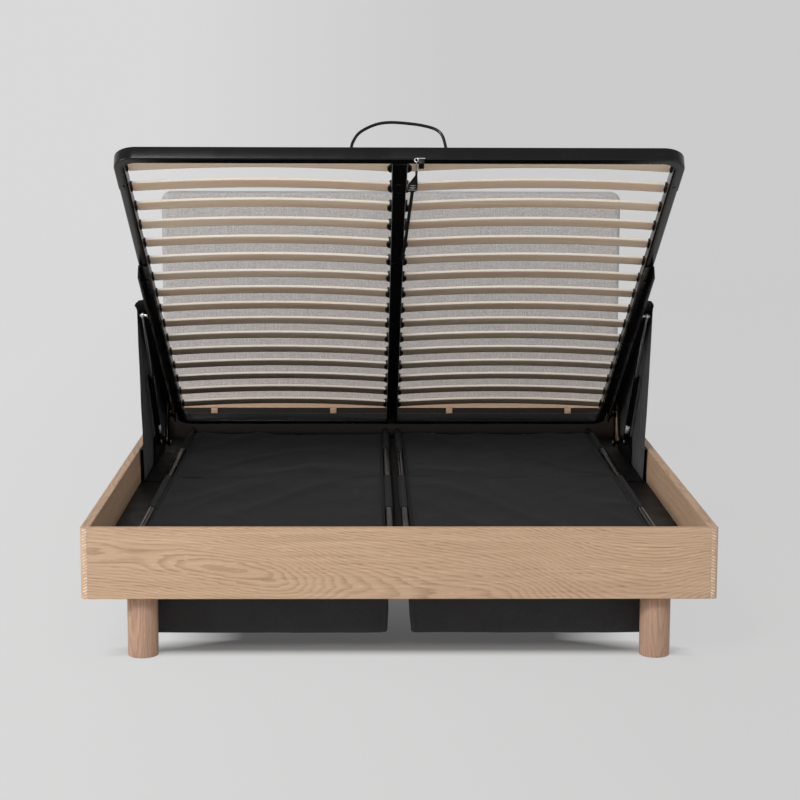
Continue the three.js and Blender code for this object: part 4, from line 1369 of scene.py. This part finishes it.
def spring_hook(bm):
    """A ring on the rail's front face, the bar beside it and the link that runs down to the strap."""
    ring = oval((0.0425, 0.0085), 0.0050, 0.0052, 24)
    tube(bm, [raised(x, -0.0022, n - HOOK_DROP) for x, n in ring], 0.0013, 12, capped=False)
    tube(bm, [raised(x, -0.0040, 0.0126 - HOOK_DROP) for x in (0.0455, 0.0560, 0.0645)], 0.0014, 12)
    wire = [(0.0425, -0.0024, 0.0040 - HOOK_DROP), (0.0425, 0.004, 0.0010 - HOOK_DROP)]
    wire += [(0.0427, 0.018, -0.0070), (0.0432, 0.036, -0.0040), (0.0436, 0.056, -0.0030)]
    tube(bm, [raised(*place) for place in wire], 0.0016, 12)
    eye = oval((0.0436, 0.060), 0.0034, 0.0045, 20)
    tube(bm, [raised(x, s, -0.0030) for x, s in eye], 0.0010, 10, capped=False)


def strap_grip(bm):
    """Moulded catch hooked over the rail's edge, and the bead where the strap starts."""
    block(bm, (0.0475, -0.0045, -0.0150), (0.0630, -0.0006, 0.0015), 0.0013, PLATFORM)
    block(bm, (0.0480, -0.0040, -0.0150), (0.0625, 0.0260, -0.0008), 0.0016, PLATFORM)
    block(bm, (0.0520, 0.0250, -0.0110), (0.0600, 0.0320, -0.0016), 0.0012, PLATFORM)
    bead = PLATFORM @ Matrix.Translation((0.0437, 0.070, -0.0030))
    round_off = [(AXIS_R, -0.0032), (0.0024, -0.0028), (0.0036, 0), (0.0024, 0.0028), (AXIS_R, 0.0032)]
    lathe(bm, round_off, bead, 24)


def slide_buckle(bm):
    """A flat buckle with two slots for the webbing."""
    for s in BUCKLE_S:
        tube(bm, [raised(x, s, BUCKLE_N) for x in BUCKLE_X], BUCKLE_R, 10)
    for x in (BUCKLE_X[0], BUCKLE_X[-1]):
        tube(bm, [raised(x, s, BUCKLE_N) for s in BUCKLE_S], BUCKLE_R, 10)


pull_strap()


# Plugs in the ends of the bag rails
RAIL_ENDS = ((FOOT_Y + 0.0262, -1), (FOOT_Y + 2.062, 1))


def rail_ends(bm):
    plug = [(0.0085, 0.0008), (0.0101, -0.0003), (0.0103, -0.004), (0.0100, -0.006)]
    for side in (-1, 1):
        for x in RAIL_X:
            for y, way in RAIL_ENDS:
                turn = Matrix.Rotation(way * -math.pi / 2, 4, "X")
                turned_pin(bm, plug, Matrix.Translation((side * x, y, RAIL_Z)) @ turn, 28)


fittings("rail_plugs", "bed_base", plastic, rail_ends)


# Stage: pale floor running up into a pale backdrop
FLOOR_COLOUR = colour(222, 221, 220)
SHADED_FLOOR = colour(150, 150, 150)
SHADE_HALF, SHADE_FRONT, SHADE_BACK = 0.42, FOOT_Y + 0.125, FOOT_Y + 2.2
GLOW_LEFT, GLOW_RIGHT = colour(223, 223, 223), colour(208, 208, 208)


def stage():
    surface = Surface("floor_paper", FLOOR_COLOUR, 0.9, Specular_IOR_Level=0.1)
    x, y, _ = surface.axes()
    half = surface.span(y, SHADE_FRONT + 0.01, SHADE_FRONT + 0.10, SHADE_HALF + 0.17, SHADE_HALF)
    beside = surface.span(surface.minus(surface.size(x), half), 0.0, 0.2)
    ahead = surface.span(y, SHADE_FRONT, SHADE_FRONT - 0.07)
    behind = surface.span(y, SHADE_BACK, SHADE_BACK + 0.3)
    clear = surface.maths("MAXIMUM", surface.maths("MAXIMUM", beside, ahead), behind)
    surface.feed("Base Color", surface.mix(clear, SHADED_FLOOR, FLOOR_COLOUR))
    rays = surface.add("LightPath").outputs
    seen = surface.maths("MAXIMUM", rays["Is Camera Ray"], rays["Is Glossy Ray"])
    seen = surface.maths("MAXIMUM", seen, rays["Is Transmission Ray"])
    glow = surface.mix(surface.span(x, -1.9, 0.7), GLOW_LEFT, GLOW_RIGHT)
    deep = surface.span(y, SHADE_FRONT, SHADE_FRONT + 0.9, 0.10, 0.26)
    glowing = surface.plus(deep, surface.times(clear, surface.minus(0.9, deep)))
    share = surface.times(seen, glowing)
    light = surface.add("Emission", {"Color": glow, "Strength": 1.0}).outputs[0]
    both = surface.add("MixShader", {0: share, 1: surface.shader.outputs[0], 2: light}).outputs[0]
    surface.join(surface.tree.nodes["Material Output"].inputs["Surface"], both)
    reach, back, bend, top = 60.0, 9.0, 3.0, 12.0
    profile = [(-reach, 0.0), *arc((back, bend), bend, -90, 0, 18), (back + bend, top)]
    bm = bmesh.new()
    grid_faces(bm, [[bm.verts.new((x, y, z)) for y, z in profile] for x in (-reach, reach)])
    mesh = bpy.data.meshes.new("stage_floor")
    bm.to_mesh(mesh)
    bm.free()
    mesh.materials.append(surface.material)
    for polygon in mesh.polygons:
        polygon.use_smooth = True
    made = bpy.data.objects.new("stage_floor", mesh)
    bpy.context.scene.collection.objects.link(made)


def lamp(name, place, target, size, power):
    data = bpy.data.lights.new(name, "AREA")
    data.size = size
    data.energy = power
    made = bpy.data.objects.new(name, data)
    made.location = place
    made.rotation_euler = (Vector(target) - Vector(place)).to_track_quat("-Z", "Y").to_euler()
    made.visible_camera = False
    bpy.context.scene.collection.objects.link(made)


def lights():
    world = bpy.data.worlds.new("studio")
    world.use_nodes = True
    shade = world.node_tree.nodes["Background"]
    shade.inputs["Color"].default_value = (1, 1, 1, 1)
    shade.inputs["Strength"].default_value = 0.42
    bpy.context.scene.world = world
    lamp("key", (-2.4, -6.4, 5.6), (0, 0, 0.4), 1.8, 235)
    lamp("left", (-5.2, -2.6, 1.5), (0, -0.8, 0.3), 2.0, 85)
    lamp("right", (5.4, -2.8, 2.0), (0, -0.6, 0.4), 2.0, 20)
    bpy.context.scene.view_settings.view_transform = "Standard"


stage()
lights()
